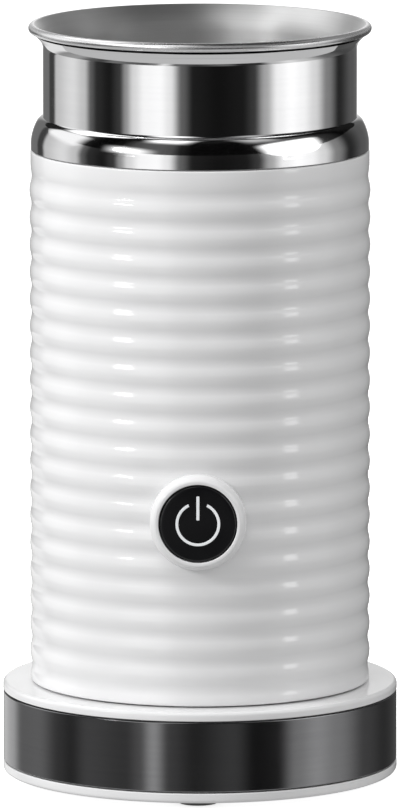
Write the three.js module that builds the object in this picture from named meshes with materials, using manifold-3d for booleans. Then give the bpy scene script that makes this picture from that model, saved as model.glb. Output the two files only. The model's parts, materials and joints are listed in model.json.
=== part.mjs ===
// Induction-style milk frother: a ribbed jug with a steel neck, standing on a round powered base.
// Millimetres, +Z up. The origin is the centre of the plane that the feet stand on. The button faces -Y.

import * as THREE from 'three';
import { mergeVertices } from 'three/addons/utils/BufferGeometryUtils.js';
import Module from 'manifold-3d';

const wasm = await Module();
wasm.setup();

// ---- Driving dimensions ----

const CLEARANCE = 0.3; // between two pieces that touch, everywhere
const THROUGH = 1; // how far a cutter runs past the face it cuts

const LARGE_ROUND = 32; // segments of the outer shells
const MEDIUM_ROUND = 18;
const SMALL_ROUND = 10;

// Base
const BASE_R = 47;
const FOOT_R = 5;
const FOOT_DROP = 1.5; // how far the feet stand below the base
const FOOT_SEAT = 0.9; // how deep a foot sits in its recess
const FOOT_INSET = 10; // from the rim to the ring of feet and screws
const UNDERSIDE_HEIGHT = 2.4; // visible height of the lower ring
const BAND_HEIGHT = 17.2; // between the lower ring and the top plate
const TOP_PLATE_HEIGHT = 2.1;
const BASE_WALL = 1.75; // of the band
const BASE_EDGE = 0.9; // rounding of the two plastic rims
const BASE_FLOOR = 2;
const SPIGOT_HEIGHT = 2.1; // rings that centre the band
const SPIGOT_WALL = 1.5;
const GLAND_BORE_R = 3;
const GLAND_WALL = 1;
const GLAND_FLANGE = 2; // how far its flange stands out from its body

// Power connector between the base and the jug
const PLUG_R = 12;
const PLUG_DEPTH = 11; // below the top plate's upper face
const PLUG_RISE = 0.2; // above that face
const TOWER_R = 8;
const TOWER_HEIGHT = 6.1;
const PIN_R = 1.6;
const PIN_RISE = 3.5; // above the tower
const CONTACT_RING_R = 5.6;
const CONTACT_RING_WALL = 0.8;
const CONTACT_RING_DEPTH = 3;

// Jug body
const BODY_R = 40.5; // over the ribs
const RIB_DEPTH = 0.65;
const RIB_PITCH = 6.505;
const RIB_COUNT = 18;
const RIB_CREST_SHARE = 0.5; // of each pitch that is flat crest
const FIRST_VALLEY = 3.6; // above the jug's bottom edge
const PLAIN_BAND = 6.4; // above the last valley
const SLEEVE_WALL = 2.6; // over the ribs
const LIP_HEIGHT = 2.4; // of the sleeve, inside the collar
const COVER_THICK = 2.6;
const COVER_POCKET = 1.9; // depth of its screw pockets
const BOSS_R = 4;
const BOSS_HEIGHT = 9.4;

// Steel collar and vessel
const SHOULDER_INSET = 0.35; // from the ribs' crests
const SHOULDER_HEIGHT = 8.7;
const SHOULDER_STRAIGHT = 1.3; // upright lower edge of the shoulder
const NECK_STEP = 2.9; // from the shoulder in to the neck
const NECK_HEIGHT = 16.2;
const SHEET = 0.6; // of the collar, measured across
const FLARE_REACH = 1.75; // how far the collar's top edge flares out
const FLARE_RISE = 2.2;
const VESSEL_WALL = 0.7;
const VESSEL_CORNER_R = 6; // inside corner at the floor
const RIM_REACH = 3.45; // how far the rim stands out from the neck
const RIM_ROLL_R = 1.05; // rolled lip
const RIM_ABOVE_NECK = 4.9; // top of the lip above the straight neck

// Button
const BUTTON_ABOVE_JUG = 44.1; // its centre, above the jug's bottom edge
const BUTTON_R = 9.15;
const BUTTON_TRAVEL = 0.8;
const BUTTON_FACE = 2;
const BUTTON_WALL = 1.25;
const BUTTON_FLANGE = 1.05;
const BEZEL_STAND = 3; // in front of the ribs
const BEZEL_WALL = 1.15;
const BEZEL_FLANGE = 0.95;
const BEZEL_DEPTH = 7; // from its front to the end of its spigot
const SYMBOL_R = 4.92;
const SYMBOL_STROKE = 0.84;
const SYMBOL_GAP = 25.7; // degrees either side of the top
const SYMBOL_BAR = [0.9, 6.6]; // lower and upper end of the bar, above the centre
const LIGHT_GUIDE_THICK = 1.6;
const STEM_R = 1.8;

// Drive bay, between the bottom cover and the vessel
const POST_R = 3.2;
const POST_INSET = 7.9; // from the sleeve's inner wall to the ring of posts
const MOTOR_R = 14;
const MOTOR_LENGTH = 26.3;
const MOTOR_ABOVE_SOCKET = 4.3;
const SHAFT_R = 1.15;
const BRACKET_THICK = 1.5;
const GROMMET_HEIGHT = 2.3;
const GROMMET_R = 4.4;
const SCREW_HEAD_HEIGHT = 1.5;
const SCREW_SHANK_R = 1.2;
const SCREW_HEAD_R = 2.6;
const MOTOR_SCREW_RING = 9;
const CARRIER_R = 12.5;
const CARRIER_HEIGHT = 5.2;
const CARRIER_BELOW_FLOOR = 0.5;
const CARRIER_HUB_R = 4;
const CARRIER_HUB_HEIGHT = 4.5;
const HUB_ABOVE_BRACKET = 2.6; // clears the motor's screw heads
const DRIVE_MAGNET_R = 9;
const DRIVE_MAGNET_HEIGHT = 2.8;
const HEATER_GAP = 1.5; // between the magnet carrier and the heater plate
const HEATER_WIDTH = 11.8;
const HEATER_THICK = 1.9;
const HEATER_TUBE_R = 2.2;
const HEATER_HORN = 35; // degrees either side of the front that the tube leaves open
const SENSOR_R = 2.6;
const SENSOR_LENGTH = 8.9;
const CUTOUT_R = 4.2;
const CUTOUT_HEIGHT = 4.7;

// Control board
const BOARD_WIDTH = 30;
const BOARD_BELOW_BUTTON = 15.6;
const BOARD_ABOVE_BUTTON = 5.4;
const BOARD_THICK = 1.6;
const HOLDER_MARGIN = 2;
const HOLDER_THICK = 1.8;
const WINDOW_HALF_WIDTH = 9;
const SWITCH_WIDTH = 6;
const SWITCH_DEPTH = 3.1;
const PLUNGER_R = 1.6;
const PLUNGER_LENGTH = 3;
const RELAY_SIZE = [15, 9.5, 6]; // across, deep, high
const LED_SIZE = [3, 1.4, 2];
const LEAD_R = 0.8;

// Whisk
const SPINDLE_R = 2;
const SPINDLE_HEIGHT = 8;
const HUB_BORE_CLEARANCE = 0.3;
const HUB_ABOVE_FLOOR = 0.6;
const HUB_LIP_R = 12.6;
const HUB_LIP = 0.5;
const COIL_RING_R = 12.6; // to the middle of the coil
const COIL_R = 2;
const COIL_WIRE_R = 0.5;
const COIL_TURNS = 14;
const WHISK_MAGNET_R = 8;
const WHISK_MAGNET_HEIGHT = 3.2;

// ---- Levels and radii worked out from them ----

const UNDERSIDE_TOP = FOOT_DROP + UNDERSIDE_HEIGHT;
const TOP_PLATE_BOTTOM = UNDERSIDE_TOP + BAND_HEIGHT;
const TOP_PLATE_TOP = TOP_PLATE_BOTTOM + TOP_PLATE_HEIGHT;
const BAND_INNER_R = BASE_R - 0.05 - BASE_WALL;
const SPIGOT_R = BAND_INNER_R - CLEARANCE;
const FIXING_RING_R = BASE_R - FOOT_INSET;
const GLAND_Z = (UNDERSIDE_TOP + TOP_PLATE_BOTTOM) / 2;

const SLEEVE_INNER_R = BODY_R - SLEEVE_WALL;
const SHOULDER_R = BODY_R - SHOULDER_INSET;
const NECK_R = SHOULDER_R - NECK_STEP;
const RIM_R = NECK_R + RIM_REACH;

const JUG_BOTTOM = TOP_PLATE_TOP + CLEARANCE;
const COVER_BOTTOM = JUG_BOTTOM + 0.2;
const COVER_TOP = COVER_BOTTOM + COVER_THICK;
const COVER_R = SLEEVE_INNER_R - CLEARANCE;
const COVER_SCREW_RING = SLEEVE_INNER_R - 3.7;
const LAST_VALLEY = JUG_BOTTOM + FIRST_VALLEY + RIB_COUNT * RIB_PITCH;
const SLEEVE_TOP = LAST_VALLEY + PLAIN_BAND;
const COLLAR_BOTTOM = SLEEVE_TOP + CLEARANCE;
const NECK_BOTTOM = COLLAR_BOTTOM + SHOULDER_HEIGHT;
const NECK_TOP = NECK_BOTTOM + NECK_HEIGHT;
const FLARE_TOP = NECK_TOP + FLARE_RISE;
const RIM_TOP = NECK_TOP + RIM_ABOVE_NECK;

const SOCKET_R = TOWER_R + 0.4;
const TOWER_TOP = TOP_PLATE_TOP + PLUG_RISE + TOWER_HEIGHT;
const SOCKET_BODY_R = PLUG_R + 1.7;
const SOCKET_BOTTOM = JUG_BOTTOM + 0.5;
const SOCKET_ROOF = TOWER_TOP + 2.3;
const SOCKET_TOP = SOCKET_ROOF + PIN_RISE + 0.7;

// The drive is stacked from the socket up to the vessel's floor
const MOTOR_BOTTOM = SOCKET_TOP + MOTOR_ABOVE_SOCKET;
const MOTOR_TOP = MOTOR_BOTTOM + MOTOR_LENGTH;
const BRACKET_BOTTOM = MOTOR_TOP + CLEARANCE;
const BRACKET_TOP = BRACKET_BOTTOM + BRACKET_THICK;
const POST_TOP = BRACKET_BOTTOM - GROMMET_HEIGHT - 2 * CLEARANCE;
const POST_RING_R = SLEEVE_INNER_R - POST_INSET;
const HUB_BOTTOM = BRACKET_TOP + HUB_ABOVE_BRACKET;
const CARRIER_BOTTOM = HUB_BOTTOM + CARRIER_HUB_HEIGHT;
const CARRIER_TOP = CARRIER_BOTTOM + CARRIER_HEIGHT;

const VESSEL_OUTER_R = NECK_R - SHEET - 0.35;
const VESSEL_R = VESSEL_OUTER_R - VESSEL_WALL;
const VESSEL_BOTTOM = CARRIER_TOP + CARRIER_BELOW_FLOOR;
const VESSEL_FLOOR = VESSEL_BOTTOM + 0.8;

const HEATER_TOP = VESSEL_BOTTOM - CLEARANCE;
const HEATER_BOTTOM = HEATER_TOP - HEATER_THICK;
const HEATER_INNER_R = CARRIER_R + HEATER_GAP;
const HEATER_TUBE_RING = HEATER_INNER_R + HEATER_WIDTH / 2 - 0.4;
const HEATER_TUBE_Z = HEATER_BOTTOM - CLEARANCE - HEATER_TUBE_R;

// Depths in front of the axis, counted towards the button's face
const BUTTON_Z = JUG_BOTTOM + BUTTON_ABOVE_JUG;
const BEZEL_FRONT = BODY_R + BEZEL_STAND;
const BEZEL_BORE_R = BUTTON_R + CLEARANCE;
const BEZEL_SPIGOT_R = BEZEL_BORE_R + BEZEL_WALL;
const BEZEL_R = BEZEL_SPIGOT_R + BEZEL_FLANGE;
const BEZEL_BACK = BEZEL_FRONT - BEZEL_DEPTH;
const CAP_CAVITY_R = BUTTON_R - BUTTON_WALL;
const GUIDE_FRONT = BEZEL_FRONT - BUTTON_FACE - CLEARANCE;
const PLUNGER_FRONT = BEZEL_BACK - 0.5;
const SWITCH_FRONT = PLUNGER_FRONT - 1.7;
const SWITCH_BACK = SWITCH_FRONT - SWITCH_DEPTH;
const BOARD_FRONT = SWITCH_BACK - CLEARANCE;
const BOARD_BACK = BOARD_FRONT - BOARD_THICK;
const HOLDER_FRONT = BOARD_BACK - CLEARANCE;
const HOLDER_BACK = HOLDER_FRONT - HOLDER_THICK;
// The bracket's straight front edge, clear of the heater leads.
const BRACKET_CHORD = POST_RING_R / 2 + GROMMET_R + 1.1;
const BOARD_BOTTOM = BUTTON_Z - BOARD_BELOW_BUTTON;
const BOARD_TOP = BUTTON_Z + BOARD_ABOVE_BUTTON;
const BOARD_SCREW_X = BOARD_WIDTH / 2 - 2.8;
const BOARD_SCREW_Z = BOARD_BOTTOM + 3.5;

const BACK_TRIO = [90, 210, 330]; // degrees: base screws, bay posts
const FRONT_TRIO = [30, 150, 270]; // degrees: feet, cover screws
const FRONT = -90; // degrees

// ---- Finishes ----

function finish(color, roughness, metalness) {
  return new THREE.MeshStandardMaterial({ color, roughness, metalness });
}

const WHITE_PLASTIC = finish(0xf2f2f1, 0.25, 0);
const BLACK_GLOSS = finish(0x060607, 0.12, 0);
const POLISHED_STEEL = finish(0xc9cacc, 0.08, 1);
const DARK_STEEL = finish(0x4a4a4d, 0.12, 1);
const SATIN_STEEL = finish(0xb2b3b4, 0.35, 1);
const ALUMINIUM = finish(0xb9bbbd, 0.4, 1);
const BRASS = finish(0xc7a04f, 0.3, 1);
const GREY_RUBBER = finish(0x3a3a3b, 0.8, 0);
const BLACK_PLASTIC = finish(0x1b1b1c, 0.5, 0);
const ZINC = finish(0xa4a6a8, 0.35, 1);
const MAGNET = finish(0x5b5d60, 0.3, 1);
const BOARD_GREEN = finish(0x1d5a36, 0.45, 0);
const LENS_WHITE = finish(0xf6f7f8, 0.3, 0);
const LEAD_RED = finish(0xa12b25, 0.5, 0);
const LEAD_BLUE = finish(0x2a4d9b, 0.5, 0);

// ---- Geometry helpers ----

const radians = THREE.MathUtils.degToRad;

function polar(radius, degrees) {
  return [radius * Math.cos(radians(degrees)), radius * Math.sin(radians(degrees))];
}

// A profile of [radius, height] points spun about Z. It starts and ends on the axis, or closes on itself.
function spun(profile, segments) {
  const closed = profile[0][0] > 0;
  const outline = closed ? [...profile, profile[0]] : profile;
  const points = outline.map(([radius, height]) => new THREE.Vector2(radius, height));
  return new THREE.LatheGeometry(points, segments).rotateX(Math.PI / 2);
}

function rod(radius, bottom, top, segments = SMALL_ROUND) {
  return spun([[0, bottom], [radius, bottom], [radius, top], [0, top]], segments);
}

function ring(inner, outer, bottom, top, segments = MEDIUM_ROUND) {
  return spun([[inner, bottom], [outer, bottom], [outer, top], [inner, top]], segments);
}

function block(low, high) {
  const size = high.map((value, axis) => value - low[axis]);
  const middle = high.map((value, axis) => (value + low[axis]) / 2);
  return new THREE.BoxGeometry(...size).translate(...middle);
}

function slab(shape, bottom, top, curveSegments = SMALL_ROUND) {
  const settings = { depth: top - bottom, bevelEnabled: false, curveSegments };
  return new THREE.ExtrudeGeometry(shape, settings).translate(0, 0, bottom);
}

// Points on an arc about [radius, height], from one angle to another, in degrees.
function arc([centreR, centreZ], radius, from, to, steps) {
  const points = [];
  for (let step = 0; step <= steps; step += 1) {
    const angle = radians(from + ((to - from) * step) / steps);
    points.push([centreR + radius * Math.cos(angle), centreZ + radius * Math.sin(angle)]);
  }
  return points;
}

// A wire or tube that follows a curve.
function piped(curve, radius, steps, sides) {
  const section = new THREE.Shape();
  for (let side = 0; side < sides; side += 1) {
    const [x, y] = polar(radius, (360 * side) / sides);
    if (side === 0) section.moveTo(x, y);
    else section.lineTo(x, y);
  }
  section.closePath();
  return new THREE.ExtrudeGeometry(section, { steps, extrudePath: curve, bevelEnabled: false });
}

// Turns a piece built along Z so that it faces the front, with its local height counted towards -Y.
function facingFront(geometry) {
  return geometry.rotateX(Math.PI / 2).translate(0, 0, BUTTON_Z);
}

function at(geometry, x, y, z = 0) {
  return geometry.translate(x, y, z);
}

function signedVolume(vertices, triangles) {
  const corner = (index) => new THREE.Vector3().fromArray(vertices, 3 * index);
  let total = 0;
  for (let t = 0; t < triangles.length; t += 3) {
    const [a, b, c] = [corner(triangles[t]), corner(triangles[t + 1]), corner(triangles[t + 2])];
    total += a.dot(b.cross(c));
  }
  return total / 6;
}

// A closed solid for joining and cutting, with shared corners and its faces pointing out.
function solid(geometry) {
  const bare = geometry.clone();
  bare.deleteAttribute('normal');
  bare.deleteAttribute('uv');
  const merged = mergeVertices(bare, 1e-4);
  const vertProperties = new Float32Array(merged.attributes.position.array);
  const kept = [];
  const index = merged.index.array;
  for (let t = 0; t < index.length; t += 3) {
    const [a, b, c] = index.slice(t, t + 3);
    if (a !== b && b !== c && c !== a) kept.push(a, b, c);
  }
  if (signedVolume(vertProperties, kept) < 0) kept.reverse();
  const triVerts = new Uint32Array(kept);
  return new wasm.Manifold(new wasm.Mesh({ numProp: 3, vertProperties, triVerts }));
}

function geometryOf(made) {
  const { vertProperties, triVerts } = made.getMesh();
  const geometry = new THREE.BufferGeometry();
  geometry.setAttribute('position', new THREE.BufferAttribute(vertProperties, 3));
  geometry.setIndex(new THREE.BufferAttribute(triVerts, 1));
  geometry.computeVertexNormals();
  return geometry;
}

function joined(...geometries) {
  return geometries.map(solid).reduce((whole, next) => whole.add(next));
}

function cut(whole, ...cutters) {
  return cutters.map(solid).reduce((rest, cutter) => rest.subtract(cutter), whole);
}

// ---- The object ----

const frother = new THREE.Group();
frother.name = 'milk_frother';

function add(name, made, material) {
  const isSolid = made instanceof wasm.Manifold;
  const mesh = new THREE.Mesh(geometryOf(isSolid ? made : solid(made)), material);
  mesh.name = name;
  frother.add(mesh);
}

// A pan-head screw pointing up, with the underside of its head at the given level.
function screw(headSeat, length, down = false) {
  const way = down ? -1 : 1;
  const profile = [
    [0, headSeat - way * SCREW_HEAD_HEIGHT],
    [SCREW_HEAD_R, headSeat - way * SCREW_HEAD_HEIGHT],
    [SCREW_HEAD_R, headSeat],
    [SCREW_SHANK_R, headSeat],
    [SCREW_SHANK_R, headSeat + way * length],
    [0, headSeat + way * length],
  ];
  return spun(profile, SMALL_ROUND);
}

// -- Base --

const BASE_SCREW_SEAT = FOOT_DROP + 2;
const BASE_SCREW_LENGTH = 9;

function addBaseUnderside() {
  const floorTop = FOOT_DROP + BASE_FLOOR;
  const profile = [
    [0, FOOT_DROP],
    ...arc([BASE_R - BASE_EDGE, FOOT_DROP + BASE_EDGE], BASE_EDGE, -90, 0, 3),
    [BASE_R, UNDERSIDE_TOP],
    [SPIGOT_R, UNDERSIDE_TOP],
    [SPIGOT_R, UNDERSIDE_TOP + SPIGOT_HEIGHT],
    [SPIGOT_R - SPIGOT_WALL, UNDERSIDE_TOP + SPIGOT_HEIGHT],
    [SPIGOT_R - SPIGOT_WALL, floorTop],
    [0, floorTop],
  ];
  let tray = solid(spun(profile, LARGE_ROUND));
  const headRoom = SCREW_HEAD_R + CLEARANCE;
  for (const degrees of BACK_TRIO) {
    const [x, y] = polar(FIXING_RING_R, degrees);
    const pillar = at(rod(headRoom + 1.2, floorTop - 0.5, BASE_SCREW_SEAT + 2), x, y);
    const pocket = at(rod(headRoom, FOOT_DROP - THROUGH, BASE_SCREW_SEAT), x, y);
    const hole = at(rod(SCREW_SHANK_R + CLEARANCE, FOOT_DROP, BASE_SCREW_SEAT + 2 + THROUGH), x, y);
    tray = cut(tray.add(solid(pillar)), pocket, hole);
  }
  for (const degrees of FRONT_TRIO) {
    const recessTop = FOOT_DROP + FOOT_SEAT + CLEARANCE;
    const recess = rod(FOOT_R + CLEARANCE, FOOT_DROP - THROUGH, recessTop, MEDIUM_ROUND);
    tray = cut(tray, at(recess, ...polar(FIXING_RING_R, degrees)));
  }
  add('base_underside', tray, WHITE_PLASTIC);
}

function addFeet() {
  const profile = [
    [0, 0],
    [FOOT_R - 0.6, 0],
    [FOOT_R, 0.6],
    [FOOT_R, FOOT_DROP + FOOT_SEAT],
    [0, FOOT_DROP + FOOT_SEAT],
  ];
  FRONT_TRIO.forEach((degrees, index) => {
    const foot = at(spun(profile, MEDIUM_ROUND), ...polar(FIXING_RING_R, degrees));
    add(`base_foot_${index + 1}`, foot, GREY_RUBBER);
  });
}

function addBaseBand() {
  const outer = BASE_R - 0.05;
  const bottom = UNDERSIDE_TOP + CLEARANCE;
  const top = TOP_PLATE_BOTTOM - CLEARANCE;
  const band = solid(ring(BAND_INNER_R, outer, bottom, top, LARGE_ROUND));
  const glandHole = rod(GLAND_BORE_R + GLAND_WALL + CLEARANCE, -BASE_R - THROUGH, 0, MEDIUM_ROUND);
  add('base_band', cut(band, at(glandHole.rotateX(Math.PI / 2), 0, 0, GLAND_Z)), DARK_STEEL);
}

function addBaseTopPlate() {
  const profile = [
    [PLUG_R + CLEARANCE, TOP_PLATE_BOTTOM],
    [SPIGOT_R - SPIGOT_WALL, TOP_PLATE_BOTTOM],
    [SPIGOT_R - SPIGOT_WALL, TOP_PLATE_BOTTOM - SPIGOT_HEIGHT],
    [SPIGOT_R, TOP_PLATE_BOTTOM - SPIGOT_HEIGHT],
    [SPIGOT_R, TOP_PLATE_BOTTOM],
    [BASE_R, TOP_PLATE_BOTTOM],
    ...arc([BASE_R - BASE_EDGE, TOP_PLATE_TOP - BASE_EDGE], BASE_EDGE, 0, 90, 3),
    [PLUG_R + CLEARANCE, TOP_PLATE_TOP],
  ];
  let plate = solid(spun(profile, LARGE_ROUND));
  const postBottom = BASE_SCREW_SEAT + 2 + CLEARANCE;
  for (const degrees of BACK_TRIO) {
    const [x, y] = polar(FIXING_RING_R, degrees);
    const post = at(rod(POST_R, postBottom, TOP_PLATE_BOTTOM + 0.5), x, y);
    const pilotTop = BASE_SCREW_SEAT + BASE_SCREW_LENGTH + CLEARANCE;
    const pilot = at(rod(SCREW_SHANK_R + CLEARANCE, postBottom - THROUGH, pilotTop), x, y);
    plate = cut(plate.add(solid(post)), pilot);
  }
  add('base_top_plate', plate, WHITE_PLASTIC);
}

function addBaseScrews() {
  BACK_TRIO.forEach((degrees, index) => {
    const made = at(screw(BASE_SCREW_SEAT - CLEARANCE, BASE_SCREW_LENGTH), ...polar(FIXING_RING_R, degrees));
    add(`base_screw_${index + 1}`, made, ZINC);
  });
}

// The cord's outlet at the back: a rubber bush held in the band by its inner flange.
function addCordGland() {
  const bodyR = GLAND_BORE_R + GLAND_WALL;
  const flangeR = bodyR + GLAND_FLANGE;
  const facetR = BAND_INNER_R * Math.cos(Math.PI / LARGE_ROUND); // the band's flats reach in this far
  const flangeEnd = Math.sqrt(facetR ** 2 - flangeR ** 2) - CLEARANCE;
  const profile = [
    [GLAND_BORE_R, flangeEnd - 1.5],
    [flangeR, flangeEnd - 1.5],
    [flangeR, flangeEnd],
    [bodyR, flangeEnd],
    [bodyR, BASE_R - 0.4],
    [GLAND_BORE_R, BASE_R - 0.4],
  ];
  const bush = spun(profile, MEDIUM_ROUND).rotateX(-Math.PI / 2);
  add('cord_gland', at(bush, 0, 0, GLAND_Z), GREY_RUBBER);
}

function addBaseConnector() {
  const bottom = TOP_PLATE_TOP - PLUG_DEPTH;
  const shelf = TOP_PLATE_BOTTOM - CLEARANCE;
  const deck = TOP_PLATE_TOP + PLUG_RISE;
  const slotInner = CONTACT_RING_R - CONTACT_RING_WALL / 2 - CLEARANCE;
  const slotOuter = CONTACT_RING_R + CONTACT_RING_WALL / 2 + CLEARANCE;
  const slotFloor = TOWER_TOP - CONTACT_RING_DEPTH - CLEARANCE;
  const pinBore = PIN_R + CLEARANCE;
  const profile = [
    [0, bottom],
    [PLUG_R, bottom],
    [PLUG_R, shelf - 2.5],
    [PLUG_R + 3, shelf - 2.5],
    [PLUG_R + 3, shelf],
    [PLUG_R, shelf],
    [PLUG_R, deck],
    [TOWER_R, deck],
    [TOWER_R, TOWER_TOP - 0.5],
    [TOWER_R - 0.5, TOWER_TOP],
    [slotOuter, TOWER_TOP],
    [slotOuter, slotFloor],
    [slotInner, slotFloor],
    [slotInner, TOWER_TOP],
    [pinBore, TOWER_TOP],
    [pinBore, bottom + 2],
    [0, bottom + 2],
  ];
  add('base_connector', spun(profile, MEDIUM_ROUND), BLACK_PLASTIC);
  const pinTop = TOWER_TOP + PIN_RISE;
  const pin = [[0, bottom + 2 + CLEARANCE], [PIN_R, bottom + 2 + CLEARANCE], [PIN_R, pinTop - 0.8]];
  pin.push([PIN_R * 0.5, pinTop], [0, pinTop]);
  add('contact_pin', spun(pin, SMALL_ROUND), BRASS);
  const ringInner = CONTACT_RING_R - CONTACT_RING_WALL / 2;
  const ringOuter = CONTACT_RING_R + CONTACT_RING_WALL / 2;
  const contact = ring(ringInner, ringOuter, slotFloor + CLEARANCE, TOWER_TOP - 0.2);
  add('contact_ring', contact, BRASS);
}

// -- Jug shell --

// Outer outline of the ribs, from the bottom edge to the top of the plain band.
function ribOutline() {
  const valleyR = BODY_R - RIB_DEPTH;
  const slope = ((1 - RIB_CREST_SHARE) / 2) * RIB_PITCH;
  const points = [[BODY_R - 0.4, JUG_BOTTOM], [BODY_R, JUG_BOTTOM + 0.5]];
  for (let rib = 0; rib <= RIB_COUNT; rib += 1) {
    const valley = JUG_BOTTOM + FIRST_VALLEY + rib * RIB_PITCH;
    points.push([BODY_R, valley - slope], [valleyR, valley], [BODY_R, valley + slope]);
  }
  points.pop();
  points.push([SHOULDER_R + 0.1, LAST_VALLEY + slope]);
  points.push([SHOULDER_R + 0.1, SLEEVE_TOP - 0.4], [SHOULDER_R - 0.3, SLEEVE_TOP]);
  return points;
}

function addRibbedSleeve() {
  const lipR = SHOULDER_R - SHEET - 0.4;
  const profile = [
    [SLEEVE_INNER_R, JUG_BOTTOM],
    ...ribOutline(),
    [lipR, SLEEVE_TOP],
    [lipR, SLEEVE_TOP + LIP_HEIGHT],
    [SLEEVE_INNER_R, SLEEVE_TOP + LIP_HEIGHT],
  ];
  let sleeve = solid(spun(profile, LARGE_ROUND));
  const bossBottom = COVER_TOP + CLEARANCE;
  for (const degrees of FRONT_TRIO) {
    const [x, y] = polar(COVER_SCREW_RING, degrees);
    const boss = at(rod(BOSS_R, bossBottom, bossBottom + BOSS_HEIGHT), x, y);
    const pilotR = SCREW_SHANK_R + CLEARANCE;
    const pilot = at(rod(pilotR, bossBottom - THROUGH, bossBottom + BOSS_HEIGHT - 1), x, y);
    sleeve = cut(sleeve.add(solid(boss)), pilot);
  }
  const opening = rod(BEZEL_SPIGOT_R + CLEARANCE, SLEEVE_INNER_R / 2, BODY_R + THROUGH, MEDIUM_ROUND);
  add('ribbed_sleeve', cut(sleeve, facingFront(opening)), WHITE_PLASTIC);
}

// Outer outline of the collar, from its bottom edge over the shoulder and neck to its flared top edge.
function collarOutline() {
  const step = SHOULDER_R - NECK_R;
  const bend = NECK_BOTTOM - 1.9; // where the convex shoulder turns into the neck's fillet
  const bendR = NECK_R + 0.26 * step;
  const path = new THREE.Path();
  path.moveTo(SHOULDER_R, COLLAR_BOTTOM);
  path.lineTo(SHOULDER_R, COLLAR_BOTTOM + SHOULDER_STRAIGHT);
  path.bezierCurveTo(SHOULDER_R - 0.05, bend - 2.7, NECK_R + 0.67 * step, bend - 1.6, bendR, bend);
  path.quadraticCurveTo(NECK_R, NECK_BOTTOM - 0.9, NECK_R, NECK_BOTTOM);
  path.lineTo(NECK_R, NECK_TOP);
  path.bezierCurveTo(NECK_R, NECK_TOP + 0.9, NECK_R + 0.7, FLARE_TOP - 0.9, NECK_R + FLARE_REACH, FLARE_TOP);
  return path.getPoints(4).map((point) => [point.x, point.y]);
}

function addSteelCollar() {
  const outer = collarOutline();
  const everySecond = outer.filter((_, index) => index % 2 === 0);
  const inner = everySecond.map(([radius, height]) => [radius - SHEET, height]);
  add('steel_collar', spun([...outer, ...inner.reverse()], LARGE_ROUND), POLISHED_STEEL);
}

function addInnerVessel() {
  const cornerOuter = VESSEL_CORNER_R + VESSEL_WALL;
  const rollCentre = [RIM_R - RIM_ROLL_R, RIM_TOP - RIM_ROLL_R];
  const clearOfFlare = [NECK_R + FLARE_REACH - 0.5, FLARE_TOP + 0.6];
  const profile = [
    [0, VESSEL_BOTTOM],
    ...arc([VESSEL_OUTER_R - cornerOuter, VESSEL_BOTTOM + cornerOuter], cornerOuter, -90, 0, 3),
    [VESSEL_OUTER_R, NECK_TOP + 0.6],
    [NECK_R + FLARE_REACH - 1.9, FLARE_TOP - 0.4],
    clearOfFlare,
    ...arc(rollCentre, RIM_ROLL_R, -110, 130, 8),
    [VESSEL_R + 1.2, FLARE_TOP + 0.3],
    [VESSEL_R + 0.2, NECK_TOP + 1.1],
    [VESSEL_R, NECK_TOP],
    ...arc([VESSEL_R - VESSEL_CORNER_R, VESSEL_FLOOR + VESSEL_CORNER_R], VESSEL_CORNER_R, 0, -90, 3),
    [0, VESSEL_FLOOR],
  ];
  add('inner_vessel', spun(profile, LARGE_ROUND), SATIN_STEEL);
}

function addBottomCover() {
  const holeR = SOCKET_BODY_R + CLEARANCE;
  let cover = solid(ring(holeR, COVER_R, COVER_BOTTOM, COVER_TOP, LARGE_ROUND));
  for (const degrees of BACK_TRIO) {
    const [x, y] = polar(POST_RING_R, degrees);
    const post = at(rod(POST_R, COVER_TOP - 0.5, POST_TOP), x, y);
    const pilot = at(rod(SCREW_SHANK_R + CLEARANCE, POST_TOP - 10, POST_TOP + THROUGH), x, y);
    cover = cut(cover.add(solid(post)), pilot);
  }
  for (const degrees of FRONT_TRIO) {
    const [x, y] = polar(COVER_SCREW_RING, degrees);
    const pocketR = SCREW_HEAD_R + CLEARANCE;
    const pocket = at(rod(pocketR, COVER_BOTTOM - THROUGH, COVER_BOTTOM + COVER_POCKET), x, y);
    const hole = at(rod(SCREW_SHANK_R + CLEARANCE, COVER_BOTTOM, COVER_TOP + THROUGH), x, y);
    cover = cut(cover, pocket, hole);
  }
  add('bottom_cover', cover, BLACK_PLASTIC);
  FRONT_TRIO.forEach((degrees, index) => {
    const made = at(screw(COVER_BOTTOM + COVER_POCKET - CLEARANCE, 8), ...polar(COVER_SCREW_RING, degrees));
    add(`cover_screw_${index + 1}`, made, ZINC);
  });
}

function addJugConnector() {
  const clipBottom = COVER_TOP + CLEARANCE;
  const boreR = PIN_R + 0.4;
  const boreRoof = SOCKET_ROOF + PIN_RISE - 0.4;
  const profile = [
    [0, boreRoof],
    [boreR, boreRoof],
    [boreR, SOCKET_ROOF],
    [SOCKET_R, SOCKET_ROOF],
    [SOCKET_R, SOCKET_BOTTOM],
    [SOCKET_BODY_R, SOCKET_BOTTOM],
    [SOCKET_BODY_R, clipBottom],
    [SOCKET_BODY_R + 2.3, clipBottom],
    [SOCKET_BODY_R + 2.3, clipBottom + 1.6],
    [SOCKET_BODY_R, clipBottom + 1.6],
    [SOCKET_BODY_R, SOCKET_TOP],
    [0, SOCKET_TOP],
  ];
  add('jug_connector', spun(profile, MEDIUM_ROUND), BLACK_PLASTIC);
}

// -- Drive and heater --

const SHAFT_BOTTOM = MOTOR_BOTTOM + 4;
const SHAFT_TOP = CARRIER_BOTTOM + 0.9;

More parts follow.
